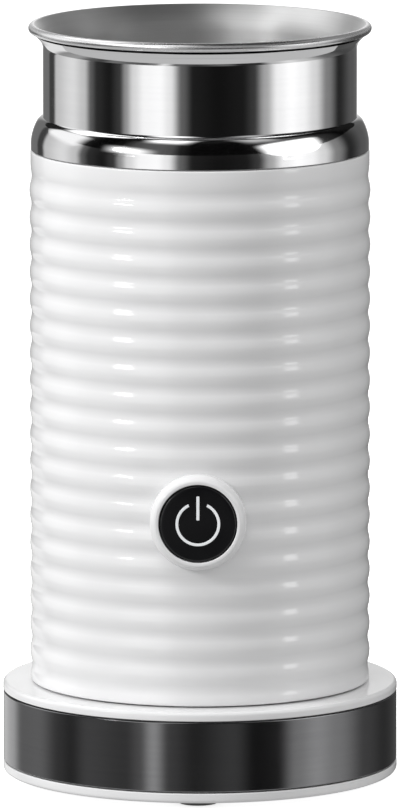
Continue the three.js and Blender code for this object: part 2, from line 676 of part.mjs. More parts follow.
function addMotor() {
  const boreR = SHAFT_R + CLEARANCE;
  const profile = [
    [0, MOTOR_BOTTOM - 1.8],
    [4, MOTOR_BOTTOM - 1.8],
    [4, MOTOR_BOTTOM],
    [MOTOR_R - 1, MOTOR_BOTTOM],
    [MOTOR_R, MOTOR_BOTTOM + 1],
    [MOTOR_R, MOTOR_TOP],
    [boreR, MOTOR_TOP],
    [boreR, SHAFT_BOTTOM - CLEARANCE],
    [0, SHAFT_BOTTOM - CLEARANCE],
  ];
  let motor = solid(spun(profile, MEDIUM_ROUND));
  for (const side of [-1, 1]) {
    const pilot = rod(SCREW_SHANK_R + CLEARANCE, MOTOR_TOP - 5, MOTOR_TOP + THROUGH);
    motor = cut(motor, at(pilot, side * MOTOR_SCREW_RING, 0));
  }
  add('motor', motor, ZINC);
  add('motor_shaft', rod(SHAFT_R, SHAFT_BOTTOM, SHAFT_TOP), POLISHED_STEEL);
}

// A flat plate on three rubber bushes, cut straight at the front for the control board.
function addMotorBracket() {
  const radius = POST_RING_R + GROMMET_R + 0.4;
  const corner = THREE.MathUtils.radToDeg(Math.asin(-BRACKET_CHORD / radius));
  const outline = new THREE.Shape();
  outline.absarc(0, 0, radius, radians(corner), radians(180 - corner), false);
  outline.closePath();
  let plate = solid(slab(outline, BRACKET_BOTTOM, BRACKET_TOP, MEDIUM_ROUND));
  const holeBottom = BRACKET_BOTTOM - THROUGH;
  const holeTop = BRACKET_TOP + THROUGH;
  plate = cut(plate, rod(5.5, holeBottom, holeTop, MEDIUM_ROUND));
  const fixings = BACK_TRIO.map((degrees) => polar(POST_RING_R, degrees));
  fixings.push([-MOTOR_SCREW_RING, 0], [MOTOR_SCREW_RING, 0]);
  for (const [x, y] of fixings) {
    plate = cut(plate, at(rod(SCREW_SHANK_R + CLEARANCE, holeBottom, holeTop), x, y));
  }
  add('motor_bracket', plate, ZINC);
  const headSeat = BRACKET_TOP + CLEARANCE;
  BACK_TRIO.forEach((degrees, index) => {
    const place = polar(POST_RING_R, degrees);
    const bushBottom = POST_TOP + CLEARANCE;
    const bushTop = bushBottom + GROMMET_HEIGHT;
    const bush = ring(SCREW_SHANK_R + CLEARANCE, GROMMET_R, bushBottom, bushTop, SMALL_ROUND);
    add(`grommet_${index + 1}`, at(bush, ...place), GREY_RUBBER);
    add(`bracket_screw_${index + 1}`, at(screw(headSeat, 10, true), ...place), ZINC);
  });
  [-1, 1].forEach((side, index) => {
    const made = at(screw(headSeat, 6, true), side * MOTOR_SCREW_RING, 0);
    add(`motor_screw_${index + 1}`, made, ZINC);
  });
}

function addMagnetCarrier() {
  const pocketR = DRIVE_MAGNET_R + CLEARANCE;
  const pocketFloor = CARRIER_TOP - DRIVE_MAGNET_HEIGHT - CLEARANCE - 0.2;
  const profile = [
    [0, SHAFT_TOP + CLEARANCE],
    [SHAFT_R + CLEARANCE, SHAFT_TOP + CLEARANCE],
    [SHAFT_R + CLEARANCE, HUB_BOTTOM],
    [CARRIER_HUB_R, HUB_BOTTOM],
    [CARRIER_HUB_R, CARRIER_BOTTOM],
    [CARRIER_R, CARRIER_BOTTOM],
    [CARRIER_R, CARRIER_TOP],
    [pocketR, CARRIER_TOP],
    [pocketR, pocketFloor],
    [0, pocketFloor],
  ];
  add('magnet_carrier', spun(profile, MEDIUM_ROUND), BLACK_PLASTIC);
  const magnetBottom = pocketFloor + CLEARANCE;
  const magnetTop = magnetBottom + DRIVE_MAGNET_HEIGHT;
  add('drive_magnet', rod(DRIVE_MAGNET_R, magnetBottom, magnetTop, MEDIUM_ROUND), MAGNET);
}

// Sensor and cut-out stand in the gap between the two ends of the heating tube.
const SENSOR_PLACE = polar(HEATER_TUBE_RING, FRONT - 14);
const CUTOUT_PLACE = polar(HEATER_TUBE_RING, FRONT + 13);

class TubeArc extends THREE.Curve {
  getPoint(t, target = new THREE.Vector3()) {
    const from = FRONT + HEATER_HORN;
    const [x, y] = polar(HEATER_TUBE_RING, from + t * (360 - 2 * HEATER_HORN));
    return target.set(x, y, HEATER_TUBE_Z);
  }
}

function addHeater() {
  const outer = HEATER_INNER_R + HEATER_WIDTH;
  const plate = solid(ring(HEATER_INNER_R, outer, HEATER_BOTTOM, HEATER_TOP));
  const hole = rod(SENSOR_R + CLEARANCE, HEATER_BOTTOM - THROUGH, HEATER_TOP + THROUGH);
  add('heater_plate', cut(plate, at(hole, ...SENSOR_PLACE)), ALUMINIUM);
  add('heater_tube', piped(new TubeArc(), HEATER_TUBE_R, 30, 8), ZINC);
  const sensor = at(rod(SENSOR_R, HEATER_TOP - SENSOR_LENGTH, HEATER_TOP), ...SENSOR_PLACE);
  add('temperature_sensor', sensor, BRASS);
  const cutoutTop = HEATER_BOTTOM - CLEARANCE;
  const cutout = at(rod(CUTOUT_R, cutoutTop - CUTOUT_HEIGHT, cutoutTop), ...CUTOUT_PLACE);
  add('thermal_cutout', cutout, BLACK_PLASTIC);
}

// -- Button and control board --

// Ring of the power symbol, open at the top, grown by a margin all round.
function symbolRing(margin) {
  const outer = SYMBOL_R + SYMBOL_STROKE / 2 + margin;
  const inner = SYMBOL_R - SYMBOL_STROKE / 2 - margin;
  const open = radians(SYMBOL_GAP) - margin / SYMBOL_R;
  const shape = new THREE.Shape();
  shape.absarc(0, 0, outer, Math.PI / 2 + open, Math.PI / 2 - open + 2 * Math.PI, false);
  shape.absarc(0, 0, inner, Math.PI / 2 - open + 2 * Math.PI, Math.PI / 2 + open, true);
  shape.closePath();
  return shape;
}

function symbolBar(margin, back, front) {
  const half = SYMBOL_STROKE / 2 + margin;
  const [low, high] = SYMBOL_BAR;
  return block([-half, low - margin, back], [half, high + margin, front]);
}

function addButton() {
  const backFlange = BEZEL_BACK - CLEARANCE;
  const faceBack = BEZEL_FRONT - BUTTON_FACE;
  const profile = [
    [0, faceBack],
    [CAP_CAVITY_R, faceBack],
    [CAP_CAVITY_R, backFlange - 1.2],
    [BUTTON_R + BUTTON_FLANGE, backFlange - 1.2],
    [BUTTON_R + BUTTON_FLANGE, backFlange],
    [BUTTON_R, backFlange],
    [BUTTON_R, BEZEL_FRONT - 0.3],
    [BUTTON_R - 0.3, BEZEL_FRONT],
    [0, BEZEL_FRONT],
  ];
  const slotBack = faceBack - THROUGH;
  const slotFront = BEZEL_FRONT + THROUGH;
  const ringSlot = slab(symbolRing(CLEARANCE), slotBack, slotFront, MEDIUM_ROUND);
  const barSlot = symbolBar(CLEARANCE, slotBack, slotFront);
  const cap = cut(solid(spun(profile, MEDIUM_ROUND)), ringSlot, barSlot);
  add('button_cap', solid(facingFront(geometryOf(cap))), BLACK_GLOSS);

  const symbolFront = BEZEL_FRONT - 0.05;
  const guideBack = GUIDE_FRONT - LIGHT_GUIDE_THICK;
  const overlap = 0.4;
  const guide = joined(
    rod(CAP_CAVITY_R - 2 * CLEARANCE, guideBack, GUIDE_FRONT, MEDIUM_ROUND),
    rod(STEM_R, PLUNGER_FRONT + CLEARANCE, guideBack + overlap),
    slab(symbolRing(0), GUIDE_FRONT - overlap, symbolFront, MEDIUM_ROUND),
    symbolBar(0, GUIDE_FRONT - overlap, symbolFront),
  );
  add('power_symbol', solid(facingFront(geometryOf(guide))), LENS_WHITE);
}

function addBezel() {
  const profile = [
    [BEZEL_BORE_R, BEZEL_BACK],
    [BEZEL_SPIGOT_R, BEZEL_BACK],
    [BEZEL_SPIGOT_R, BEZEL_FRONT - 5.2],
    [BEZEL_R, BEZEL_FRONT - 5.2],
    [BEZEL_R, BEZEL_FRONT - 1.8],
    [BEZEL_R - 0.35, BEZEL_FRONT - 0.8],
    [BEZEL_R - 0.95, BEZEL_FRONT - 0.15],
    [BEZEL_R - 1.35, BEZEL_FRONT],
    [BEZEL_BORE_R, BEZEL_FRONT],
  ];
  const blank = solid(facingFront(spun(profile, MEDIUM_ROUND)));
  const bodySide = solid(rod(BODY_R + CLEARANCE, BUTTON_Z - 20, BUTTON_Z + 20, 2 * LARGE_ROUND));
  const spigot = solid(facingFront(rod(BEZEL_SPIGOT_R + 0.01, 0, BODY_R + 5, MEDIUM_ROUND)));
  add('button_bezel', blank.subtract(bodySide.subtract(spigot)), WHITE_PLASTIC);
}

function addSwitch() {
  const half = SWITCH_WIDTH / 2;
  const body = solid(block([-half, -half, SWITCH_BACK], [half, half, SWITCH_FRONT]));
  const plungerBack = PLUNGER_FRONT - PLUNGER_LENGTH;
  const holeFloor = plungerBack - BUTTON_TRAVEL - CLEARANCE;
  const hole = rod(PLUNGER_R + CLEARANCE, holeFloor, SWITCH_FRONT + THROUGH);
  add('switch_body', solid(facingFront(geometryOf(cut(body, hole)))), BLACK_PLASTIC);
  add('switch_plunger', facingFront(rod(PLUNGER_R, plungerBack, PLUNGER_FRONT)), LENS_WHITE);
  const [ledWidth, ledDepth, ledHeight] = LED_SIZE;
  const ledBack = BOARD_FRONT + CLEARANCE;
  const ledX = half + 1.2;
  const led = block([ledX, -ledHeight / 2, ledBack], [ledX + ledWidth, ledHeight / 2, ledBack + ledDepth]);
  add('indicator_led', facingFront(led), LENS_WHITE);
}

function boardScrewPlaces() {
  return [-1, 1].map((side) => [side * BOARD_SCREW_X, BOARD_SCREW_Z - BUTTON_Z]);
}

function addControlBoard() {
  const half = BOARD_WIDTH / 2;
  const low = BOARD_BOTTOM - BUTTON_Z;
  const high = BOARD_TOP - BUTTON_Z;
  let board = solid(block([-half, low, BOARD_BACK], [half, high, BOARD_FRONT]));
  const holderLow = COVER_TOP + CLEARANCE - BUTTON_Z;
  const holderHalf = half + HOLDER_MARGIN;
  const holderCorner = [holderHalf, high + HOLDER_MARGIN, HOLDER_FRONT];
  let holder = solid(block([-holderHalf, holderLow, HOLDER_BACK], holderCorner));
  const window = block(
    [-WINDOW_HALF_WIDTH, low + 1, HOLDER_BACK - THROUGH],
    [WINDOW_HALF_WIDTH, high - 1, HOLDER_FRONT + THROUGH],
  );
  const arch = block(
    [-WINDOW_HALF_WIDTH, holderLow + 4, HOLDER_BACK - THROUGH],
    [WINDOW_HALF_WIDTH, low - 4, HOLDER_FRONT + THROUGH],
  );
  holder = cut(holder, window, arch);
  for (const [x, y] of boardScrewPlaces()) {
    const hole = at(rod(SCREW_SHANK_R + CLEARANCE, HOLDER_BACK - THROUGH, BOARD_FRONT + THROUGH), x, y);
    board = cut(board, hole);
    holder = cut(holder, hole);
  }
  add('control_board', solid(facingFront(geometryOf(board))), BOARD_GREEN);
  add('board_holder', solid(facingFront(geometryOf(holder))), BLACK_PLASTIC);
  boardScrewPlaces().forEach(([x, y], index) => {
    const made = at(screw(BOARD_FRONT + CLEARANCE, BOARD_THICK + HOLDER_THICK, true), x, y);
    add(`board_screw_${index + 1}`, facingFront(made), ZINC);
  });
  const [across, deep, tall] = RELAY_SIZE;
  const relayTop = -3;
  const relayFront = BOARD_BACK - CLEARANCE;
  const relay = block([-across / 2, relayTop - tall, relayFront - deep], [across / 2, relayTop, relayFront]);
  add('power_relay', facingFront(relay), BLACK_PLASTIC);
}

// Pairs of insulated leads, mirrored left and right, that end just behind the board.
function addLeads() {
  const boardEnd = -(BOARD_BACK - CLEARANCE - LEAD_R);
  const motorSide = MOTOR_R + LEAD_R + 1;
  const socketEdge = SOCKET_BODY_R - 1.3;
  const endGap = CLEARANCE + LEAD_R; // keeps a slanting end clear of what it is soldered to
  const tubeEnd = polar(HEATER_TUBE_RING, FRONT + HEATER_HORN + 6);
  const routes = {
    mains_lead: [
      [4, -socketEdge, SOCKET_TOP + endGap],
      [4.2, -motorSide, SOCKET_TOP + 3.5],
      [4.6, -motorSide - 3, BOARD_BOTTOM - 5],
      [4.6, boardEnd + 5, BOARD_BOTTOM + 2],
      [4.6, boardEnd, BOARD_BOTTOM + 3],
    ],
    motor_lead: [
      [7, -6, MOTOR_BOTTOM - endGap],
      [8.2, -11, MOTOR_BOTTOM - 2.2],
      [9, -motorSide, MOTOR_BOTTOM],
      [9, -motorSide - 5, MOTOR_BOTTOM + 8],
      [7, boardEnd, BOARD_BOTTOM + 4],
    ],
    heater_lead: [
      [tubeEnd[0], tubeEnd[1], HEATER_TUBE_Z - HEATER_TUBE_R - endGap],
      [tubeEnd[0] - 0.2, tubeEnd[1] - 2.5, HEATER_TUBE_Z - HEATER_TUBE_R - 2.5],
      [8.5, boardEnd + 5.2, (HEATER_TUBE_Z - HEATER_TUBE_R + BOARD_TOP - 4.9) / 2],
      [7.2, boardEnd + 2.2, BOARD_TOP - 3.5],
      [7, boardEnd, BOARD_TOP - 4.2],
    ],
  };
  for (const [name, route] of Object.entries(routes)) {
    [-1, 1].forEach((side, index) => {
      const points = route.map(([x, y, z]) => new THREE.Vector3(side * x, y, z));
      const lead = piped(new THREE.CatmullRomCurve3(points), LEAD_R, 8, 5);
      add(`${name}_${index + 1}`, lead, side < 0 ? LEAD_RED : LEAD_BLUE);
    });
  }
}

// -- Whisk --

const HUB_FOOT = VESSEL_FLOOR + HUB_ABOVE_FLOOR;
const COIL_Z = HUB_FOOT + HUB_LIP + CLEARANCE + COIL_WIRE_R + COIL_R;
const HUB_CAP = COIL_Z + COIL_R + COIL_WIRE_R + CLEARANCE;

class CoilCurve extends THREE.Curve {
  getPoint(t, target = new THREE.Vector3()) {
    const turn = 2 * Math.PI * COIL_TURNS * t;
    const [x, y] = polar(COIL_RING_R + COIL_R * Math.cos(turn), 352 * t);
    return target.set(x, y, COIL_Z + COIL_R * Math.sin(turn));
  }
}

function addWhisk() {
  const spindleBottom = VESSEL_FLOOR + CLEARANCE;
  const spindleTop = spindleBottom + SPINDLE_HEIGHT;
  const spindle = [[0, spindleBottom], [SPINDLE_R, spindleBottom], [SPINDLE_R, spindleTop - 1]];
  spindle.push([SPINDLE_R * 0.5, spindleTop], [0, spindleTop]);
  add('whisk_spindle', spun(spindle, SMALL_ROUND), POLISHED_STEEL);

  const boreR = SPINDLE_R + HUB_BORE_CLEARANCE;
  const boreRoof = spindleTop + CLEARANCE;
  const pocketInner = boreR + 0.6;
  const pocketOuter = WHISK_MAGNET_R + CLEARANCE;
  const pocketRoof = HUB_FOOT + 0.4 + WHISK_MAGNET_HEIGHT + CLEARANCE;
  const waist = COIL_RING_R - COIL_R - COIL_WIRE_R - CLEARANCE - 0.1;
  const profile = [
    [0, boreRoof],
    [boreR, boreRoof],
    [boreR, HUB_FOOT],
    [pocketInner, HUB_FOOT],
    [pocketInner, pocketRoof],
    [pocketOuter, pocketRoof],
    [pocketOuter, HUB_FOOT],
    [HUB_LIP_R, HUB_FOOT],
    [HUB_LIP_R, HUB_FOOT + HUB_LIP],
    [waist, HUB_FOOT + HUB_LIP],
    [waist, HUB_CAP],
    [HUB_LIP_R, HUB_CAP],
    [HUB_LIP_R, HUB_CAP + HUB_LIP],
    [6, HUB_CAP + 1.4],
    [5, boreRoof + 1],
    [3, boreRoof + 2.2],
    [0, boreRoof + 2.6],
  ];
  add('whisk_hub', spun(profile, MEDIUM_ROUND), BLACK_PLASTIC);
  const magnetBottom = HUB_FOOT + 0.4;
  const magnetInner = pocketInner + CLEARANCE;
  const magnetTop = magnetBottom + WHISK_MAGNET_HEIGHT;
  add('whisk_magnet', ring(magnetInner, WHISK_MAGNET_R, magnetBottom, magnetTop), MAGNET);
  add('whisk_coil', piped(new CoilCurve(), COIL_WIRE_R, COIL_TURNS * 6, 4), POLISHED_STEEL);
}

addBaseUnderside();
addFeet();
addBaseBand();
addBaseTopPlate();
addBaseScrews();
addCordGland();
addBaseConnector();
addRibbedSleeve();
addSteelCollar();
addInnerVessel();
addBottomCover();
addJugConnector();
addMotor();
addMotorBracket();
addMagnetCarrier();
addHeater();
addButton();
addBezel();
addSwitch();
addControlBoard();
addLeads();
addWhisk();

export default frother;
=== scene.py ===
"""Milk frother: a ribbed white jug with a polished steel neck, standing on its round powered base."""

import json
import math

import bmesh
import bpy
from mathutils import Matrix, Vector


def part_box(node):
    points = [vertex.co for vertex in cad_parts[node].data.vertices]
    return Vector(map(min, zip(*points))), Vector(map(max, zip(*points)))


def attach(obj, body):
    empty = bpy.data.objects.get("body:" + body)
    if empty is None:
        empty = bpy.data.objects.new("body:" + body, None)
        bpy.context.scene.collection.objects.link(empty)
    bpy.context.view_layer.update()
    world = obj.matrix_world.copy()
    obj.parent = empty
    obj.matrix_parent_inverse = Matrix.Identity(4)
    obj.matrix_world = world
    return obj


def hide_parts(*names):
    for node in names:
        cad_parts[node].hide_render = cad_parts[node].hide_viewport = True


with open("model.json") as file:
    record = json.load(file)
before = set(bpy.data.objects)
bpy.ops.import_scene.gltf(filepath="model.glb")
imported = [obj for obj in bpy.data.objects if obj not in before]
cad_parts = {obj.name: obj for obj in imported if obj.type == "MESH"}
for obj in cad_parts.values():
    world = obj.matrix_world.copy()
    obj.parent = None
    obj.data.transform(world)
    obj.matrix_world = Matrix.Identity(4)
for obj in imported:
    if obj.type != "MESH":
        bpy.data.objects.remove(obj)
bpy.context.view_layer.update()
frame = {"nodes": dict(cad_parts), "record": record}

MM = 0.001
SHELL_STEPS = 144  # round the outer shells
SMALL_STEPS = 48  # round feet, screws and contacts
ROUND_SEGMENTS = 4  # of a rounded corner

# ---- Camera ----

LOOK_AT = Vector((0, 0, 89.3)) * MM
CAMERA_DISTANCE = 2744.8 * MM
CAMERA_PITCH = math.radians(8.789)
CAMERA_SWING = math.radians(0.66)  # towards +X
LENS_LENGTH = 513.18
SENSOR_WIDTH = 36


def place_camera():
    lens = bpy.data.cameras.new("studio_camera")
    lens.sensor_width = SENSOR_WIDTH
    lens.lens = LENS_LENGTH
    lens.clip_start, lens.clip_end = 0.1, 60
    camera = bpy.data.objects.new("studio_camera", lens)
    bpy.context.scene.collection.objects.link(camera)
    bpy.context.scene.camera = camera
    level = math.cos(CAMERA_PITCH)
    back = Vector((math.sin(CAMERA_SWING) * level, -math.cos(CAMERA_SWING) * level, math.sin(CAMERA_PITCH)))
    camera.location = LOOK_AT + back * CAMERA_DISTANCE
    camera.rotation_mode = "QUATERNION"
    camera.rotation_quaternion = (-back).to_track_quat("-Z", "Y")


place_camera()

# ---- Node helpers and shared effects ----


def wire(tree, start, end):
    tree.links.new(start, end)


def put_node(tree, kind, **settings):
    node = tree.nodes.new(kind)
    for key, value in settings.items():
        setattr(node, key, value)
    return node


def maths(tree, operation, first, second=None):
    """A Math node; each side is a socket or a number."""
    node = put_node(tree, "ShaderNodeMath", operation=operation)
    for socket, value in zip(node.inputs, (first, second)):
        if value is None:
            continue
        if isinstance(value, (int, float)):
            socket.default_value = value
        else:
            wire(tree, value, socket)
    return node.outputs[0]


def new_effect(name, inputs, outputs):
    """An empty shader node group with number inputs and number outputs."""
    group = bpy.data.node_groups.new(name, "ShaderNodeTree")
    for label, value in inputs:
        socket = group.interface.new_socket(label, in_out="INPUT", socket_type="NodeSocketFloat")
        socket.default_value = value
    for label in outputs:
        group.interface.new_socket(label, in_out="OUTPUT", socket_type="NodeSocketFloat")
    return group, group.nodes.new("NodeGroupInput"), group.nodes.new("NodeGroupOutput")


def noise(tree, place, scale, detail=4.0, roughness=0.55):
    node = put_node(tree, "ShaderNodeTexNoise")
    wire(tree, place, node.inputs["Vector"])
    if isinstance(scale, (int, float)):
        node.inputs["Scale"].default_value = scale
    else:
        wire(tree, scale, node.inputs["Scale"])
    node.inputs["Detail"].default_value = detail
    node.inputs["Roughness"].default_value = roughness
    return node.outputs[0]


def stretch(tree, value, low, high):
    """Spreads the stretch low..high of a value over 0..1."""
    node = put_node(tree, "ShaderNodeMapRange", clamp=True)
    wire(tree, value, node.inputs["Value"])
    node.inputs["From Min"].default_value = low
    node.inputs["From Max"].default_value = high
    return node.outputs[0]


def make_handling_marks():
    """Soft smears and fingertip patches left by hands and a drying cloth."""
    group, given, result = new_effect("handling_marks", [("Scale", 30.0)], ["Marks"])
    place = put_node(group, "ShaderNodeTexCoord").outputs["Object"]
    broad = stretch(group, noise(group, place, given.outputs["Scale"], 3), 0.42, 0.68)
    fine_scale = maths(group, "MULTIPLY", given.outputs["Scale"], 6.3)
    fine = stretch(group, noise(group, place, fine_scale, 5, 0.65), 0.35, 0.7)
    both = maths(group, "MULTIPLY", broad, maths(group, "ADD", maths(group, "MULTIPLY", fine, 0.6), 0.4))
    wire(group, both, result.inputs["Marks"])
    return group


def make_moulded_skin():
    """The faint orange peel of injection-moulded plastic, with a few pits."""
    group, given, result = new_effect("moulded_skin", [("Scale", 900.0)], ["Height", "Shade"])
    place = put_node(group, "ShaderNodeTexCoord").outputs["Object"]
    peel = noise(group, place, given.outputs["Scale"], 2, 0.5)
    slow = noise(group, place, maths(group, "MULTIPLY", given.outputs["Scale"], 0.08), 2, 0.5)
    pits = put_node(group, "ShaderNodeTexVoronoi")
    wire(group, place, pits.inputs["Vector"])
    wire(group, maths(group, "MULTIPLY", given.outputs["Scale"], 0.6), pits.inputs["Scale"])
    pit_mask = stretch(group, pits.outputs["Distance"], 0.0, 0.35)
    peel_part = maths(group, "MULTIPLY", peel, 0.7)
    height = maths(group, "ADD", peel_part, maths(group, "MULTIPLY", pit_mask, 0.3))
    wire(group, height, result.inputs["Height"])
    wire(group, stretch(group, slow, 0.35, 0.65), result.inputs["Shade"])
    return group


def make_turned_lines():
    """Fine rings left by polishing a spun shell round the upright axis."""
    group, given, result = new_effect("turned_lines", [("Lines", 2600.0)], ["Height", "Shade"])
    place = put_node(group, "ShaderNodeTexCoord").outputs["Object"]
    split = put_node(group, "ShaderNodeSeparateXYZ")
    wire(group, place, split.inputs[0])
    across = maths(group, "MULTIPLY", split.outputs["X"], split.outputs["X"])
    along = maths(group, "MULTIPLY", split.outputs["Y"], split.outputs["Y"])
    radius = maths(group, "SQRT", maths(group, "ADD", across, along))
    rings = put_node(group, "ShaderNodeCombineXYZ")
    wire(group, maths(group, "MULTIPLY", radius, given.outputs["Lines"]), rings.inputs["X"])
    wire(group, maths(group, "MULTIPLY", split.outputs["Z"], given.outputs["Lines"]), rings.inputs["Y"])
    wire(group, maths(group, "MULTIPLY", split.outputs["X"], 25), rings.inputs["Z"])
    lines = noise(group, rings.outputs[0], 1.0, 3, 0.6)
    bands = noise(group, rings.outputs[0], 0.07, 2, 0.5)
    wire(group, lines, result.inputs["Height"])
    mixed = maths(group, "ADD", maths(group, "MULTIPLY", lines, 0.5), maths(group, "MULTIPLY", bands, 0.5))
    wire(group, stretch(group, mixed, 0.35, 0.65), result.inputs["Shade"])
    return group


def make_hairline_scratches():
    """A few long hairlines in crossing directions, as on steel that is wiped and stacked."""
    group, given, result = new_effect("hairline_scratches", [("Scale", 60.0)], ["Scratches"])
    place = put_node(group, "ShaderNodeTexCoord").outputs["Object"]
    found = None
    for lean in (0.35, 1.2, 2.3):
        slant = put_node(group, "ShaderNodeMapping")
        slant.inputs["Rotation"].default_value = (lean, lean * 0.7, lean * 1.9)
        slant.inputs["Scale"].default_value = (1.0, 0.035, 1.0)
        wire(group, place, slant.inputs["Vector"])
        line = noise(group, slant.outputs[0], given.outputs["Scale"], 6, 0.7)
        thin = stretch(group, maths(group, "ABSOLUTE", maths(group, "SUBTRACT", line, 0.5)), 0.006, 0.0)
        found = thin if found is None else maths(group, "MAXIMUM", found, thin)
    patch_scale = maths(group, "MULTIPLY", given.outputs["Scale"], 0.5)
    gate = stretch(group, noise(group, place, patch_scale, 2), 0.5, 0.62)
    wire(group, maths(group, "MULTIPLY", found, gate), result.inputs["Scratches"])
    return group


def make_rubbed_edges():
    """Where corners and crests are rubbed by handling."""
    group, given, result = new_effect("rubbed_edges", [("Reach", 0.06)], ["Edges"])
    point = put_node(group, "ShaderNodeNewGeometry").outputs["Pointiness"]
    place = put_node(group, "ShaderNodeTexCoord").outputs["Object"]
    lifted = maths(group, "SUBTRACT", point, 0.5)
    edge = maths(group, "DIVIDE", lifted, given.outputs["Reach"])
    broken = stretch(group, noise(group, place, 180.0, 4), 0.3, 0.65)
    held = put_node(group, "ShaderNodeClamp")
    wire(group, maths(group, "MULTIPLY", edge, broken), held.inputs["Value"])
    wire(group, held.outputs[0], result.inputs["Edges"])
    return group


def make_settled_dust():
    """A trace of dust on faces that look up."""
    group, given, result = new_effect("settled_dust", [("Amount", 0.2)], ["Dust"])
    facing = put_node(group, "ShaderNodeSeparateXYZ")
    wire(group, put_node(group, "ShaderNodeNewGeometry").outputs["Normal"], facing.inputs[0])
    place = put_node(group, "ShaderNodeTexCoord").outputs["Object"]
    patches = stretch(group, noise(group, place, 70.0, 6, 0.7), 0.42, 0.75)
    upward = stretch(group, facing.outputs["Z"], 0.35, 1.0)
    dust = maths(group, "MULTIPLY", maths(group, "MULTIPLY", upward, patches), given.outputs["Amount"])
    wire(group, dust, result.inputs["Dust"])
    return group


EFFECTS = {
    "marks": make_handling_marks(),
    "skin": make_moulded_skin(),
    "lines": make_turned_lines(),
    "scratches": make_hairline_scratches(),
    "edges": make_rubbed_edges(),
    "dust": make_settled_dust(),
}


def effect(tree, name, value):
    """Places one of the shared effects, with its one number set, and gives its outputs."""
    node = put_node(tree, "ShaderNodeGroup", node_tree=EFFECTS[name])
    node.inputs[0].default_value = value
    return node.outputs


def blend_colour(tree, amount, first, second):
    """Mixes two colours; each is a socket or a colour."""
    node = put_node(tree, "ShaderNodeMix", data_type="RGBA")
    wire(tree, amount, node.inputs["Factor"])
    for socket, value in ((node.inputs[6], first), (node.inputs[7], second)):
        if isinstance(value, tuple):
            socket.default_value = (*value, 1)
        else:
            wire(tree, value, socket)
    return node.outputs[2]


def between(tree, value, low, high):
    """Spreads a value from 0..1 over low..high."""
    node = put_node(tree, "ShaderNodeMapRange", clamp=True)
    wire(tree, value, node.inputs["Value"])
    node.inputs["To Min"].default_value = low
    node.inputs["To Max"].default_value = high
    return node.outputs[0]


def new_surface(name, **constants):
    """A material whose shader has the constants given, with _ for each space in a socket's name."""
    material = bpy.data.materials.new(name)
    material.use_nodes = True
    tree = material.node_tree
    shader = tree.nodes["Principled BSDF"]
    for label, value in constants.items():
        shader.inputs[label.replace("_", " ")].default_value = value
    return material, tree, shader


def add_relief(tree, shader, height, strength, depth):
    bump = put_node(tree, "ShaderNodeBump")
    bump.inputs["Strength"].default_value = strength
    bump.inputs["Distance"].default_value = depth * MM
    wire(tree, height, bump.inputs["Height"])
    wire(tree, bump.outputs[0], shader.inputs["Normal"])


# ---- Finishes ----

# In the calls below, rough is the roughness when clean and when marked, and relief is the strength and
# depth of the bumps.

DUST_COLOUR = (0.6, 0.59, 0.57)


def moulded_plastic(
    name, colour, tinted, rough, grain, relief, dust=0.0, rubbed=None, marks=28.0, **constants,
):
    """Moulded plastic: a slow change of tint, handled patches, fine peel, and dust on top."""
    material, tree, shader = new_surface(name, **constants)
    skin = effect(tree, "skin", grain)
    shade = blend_colour(tree, skin["Shade"], colour, tinted)
    marks_found = effect(tree, "marks", marks)["Marks"]
    roughness = between(tree, marks_found, *rough)
    if rubbed:
        edges = effect(tree, "edges", 0.08)["Edges"]
        shade = blend_colour(tree, edges, shade, rubbed)
    if dust:
        settled = effect(tree, "dust", dust)["Dust"]
        shade = blend_colour(tree, settled, shade, DUST_COLOUR)
        roughness = maths(tree, "ADD", roughness, maths(tree, "MULTIPLY", settled, 0.5))
    wire(tree, shade, shader.inputs["Base Color"])
    wire(tree, roughness, shader.inputs["Roughness"])
    add_relief(tree, shader, skin["Height"], *relief)
    return material


def polished_metal(name, colour, dulled, rough, lines, relief, scratches=70.0, marks=22.0, **constants):
    """Turned and polished metal: ring-shaped polishing lines, hairlines and a few smears."""
    material, tree, shader = new_surface(name, Metallic=1.0, **constants)
    turned = effect(tree, "lines", lines)
    hair = effect(tree, "scratches", scratches)["Scratches"]
    smears = effect(tree, "marks", marks)["Marks"]
    shade = blend_colour(tree, maths(tree, "MULTIPLY", turned["Shade"], 0.5), colour, dulled)
    shade = blend_colour(tree, maths(tree, "MULTIPLY", smears, 0.35), shade, dulled)
    wire(tree, shade, shader.inputs["Base Color"])
    worn = maths(tree, "MAXIMUM", maths(tree, "MULTIPLY", smears, 0.6), hair)
    wire(tree, between(tree, worn, *rough), shader.inputs["Roughness"])
    add_relief(tree, shader, turned["Height"], *relief)
    if "Anisotropic" in constants:
        round_axis = put_node(tree, "ShaderNodeTangent", direction_type="RADIAL", axis="Z")
        wire(tree, round_axis.outputs[0], shader.inputs["Tangent"])
    return material


def plated_metal(name, colour, dulled, rough, grain, relief, **constants):
    """Stamped or cast metal with a plated skin, dull in slow random patches and bright on rubbed edges."""
    material, tree, shader = new_surface(name, Metallic=1.0, **constants)
    skin = effect(tree, "skin", grain)
    edges = effect(tree, "edges", 0.05)["Edges"]
    smears = effect(tree, "marks", 60.0)["Marks"]
    shade = blend_colour(tree, skin["Shade"], colour, dulled)
    bright = tuple(min(1.0, part * 1.35) for part in colour)
    wire(tree, blend_colour(tree, edges, shade, bright), shader.inputs["Base Color"])
    wire(tree, between(tree, smears, *rough), shader.inputs["Roughness"])
    add_relief(tree, shader, skin["Height"], *relief)
    return material


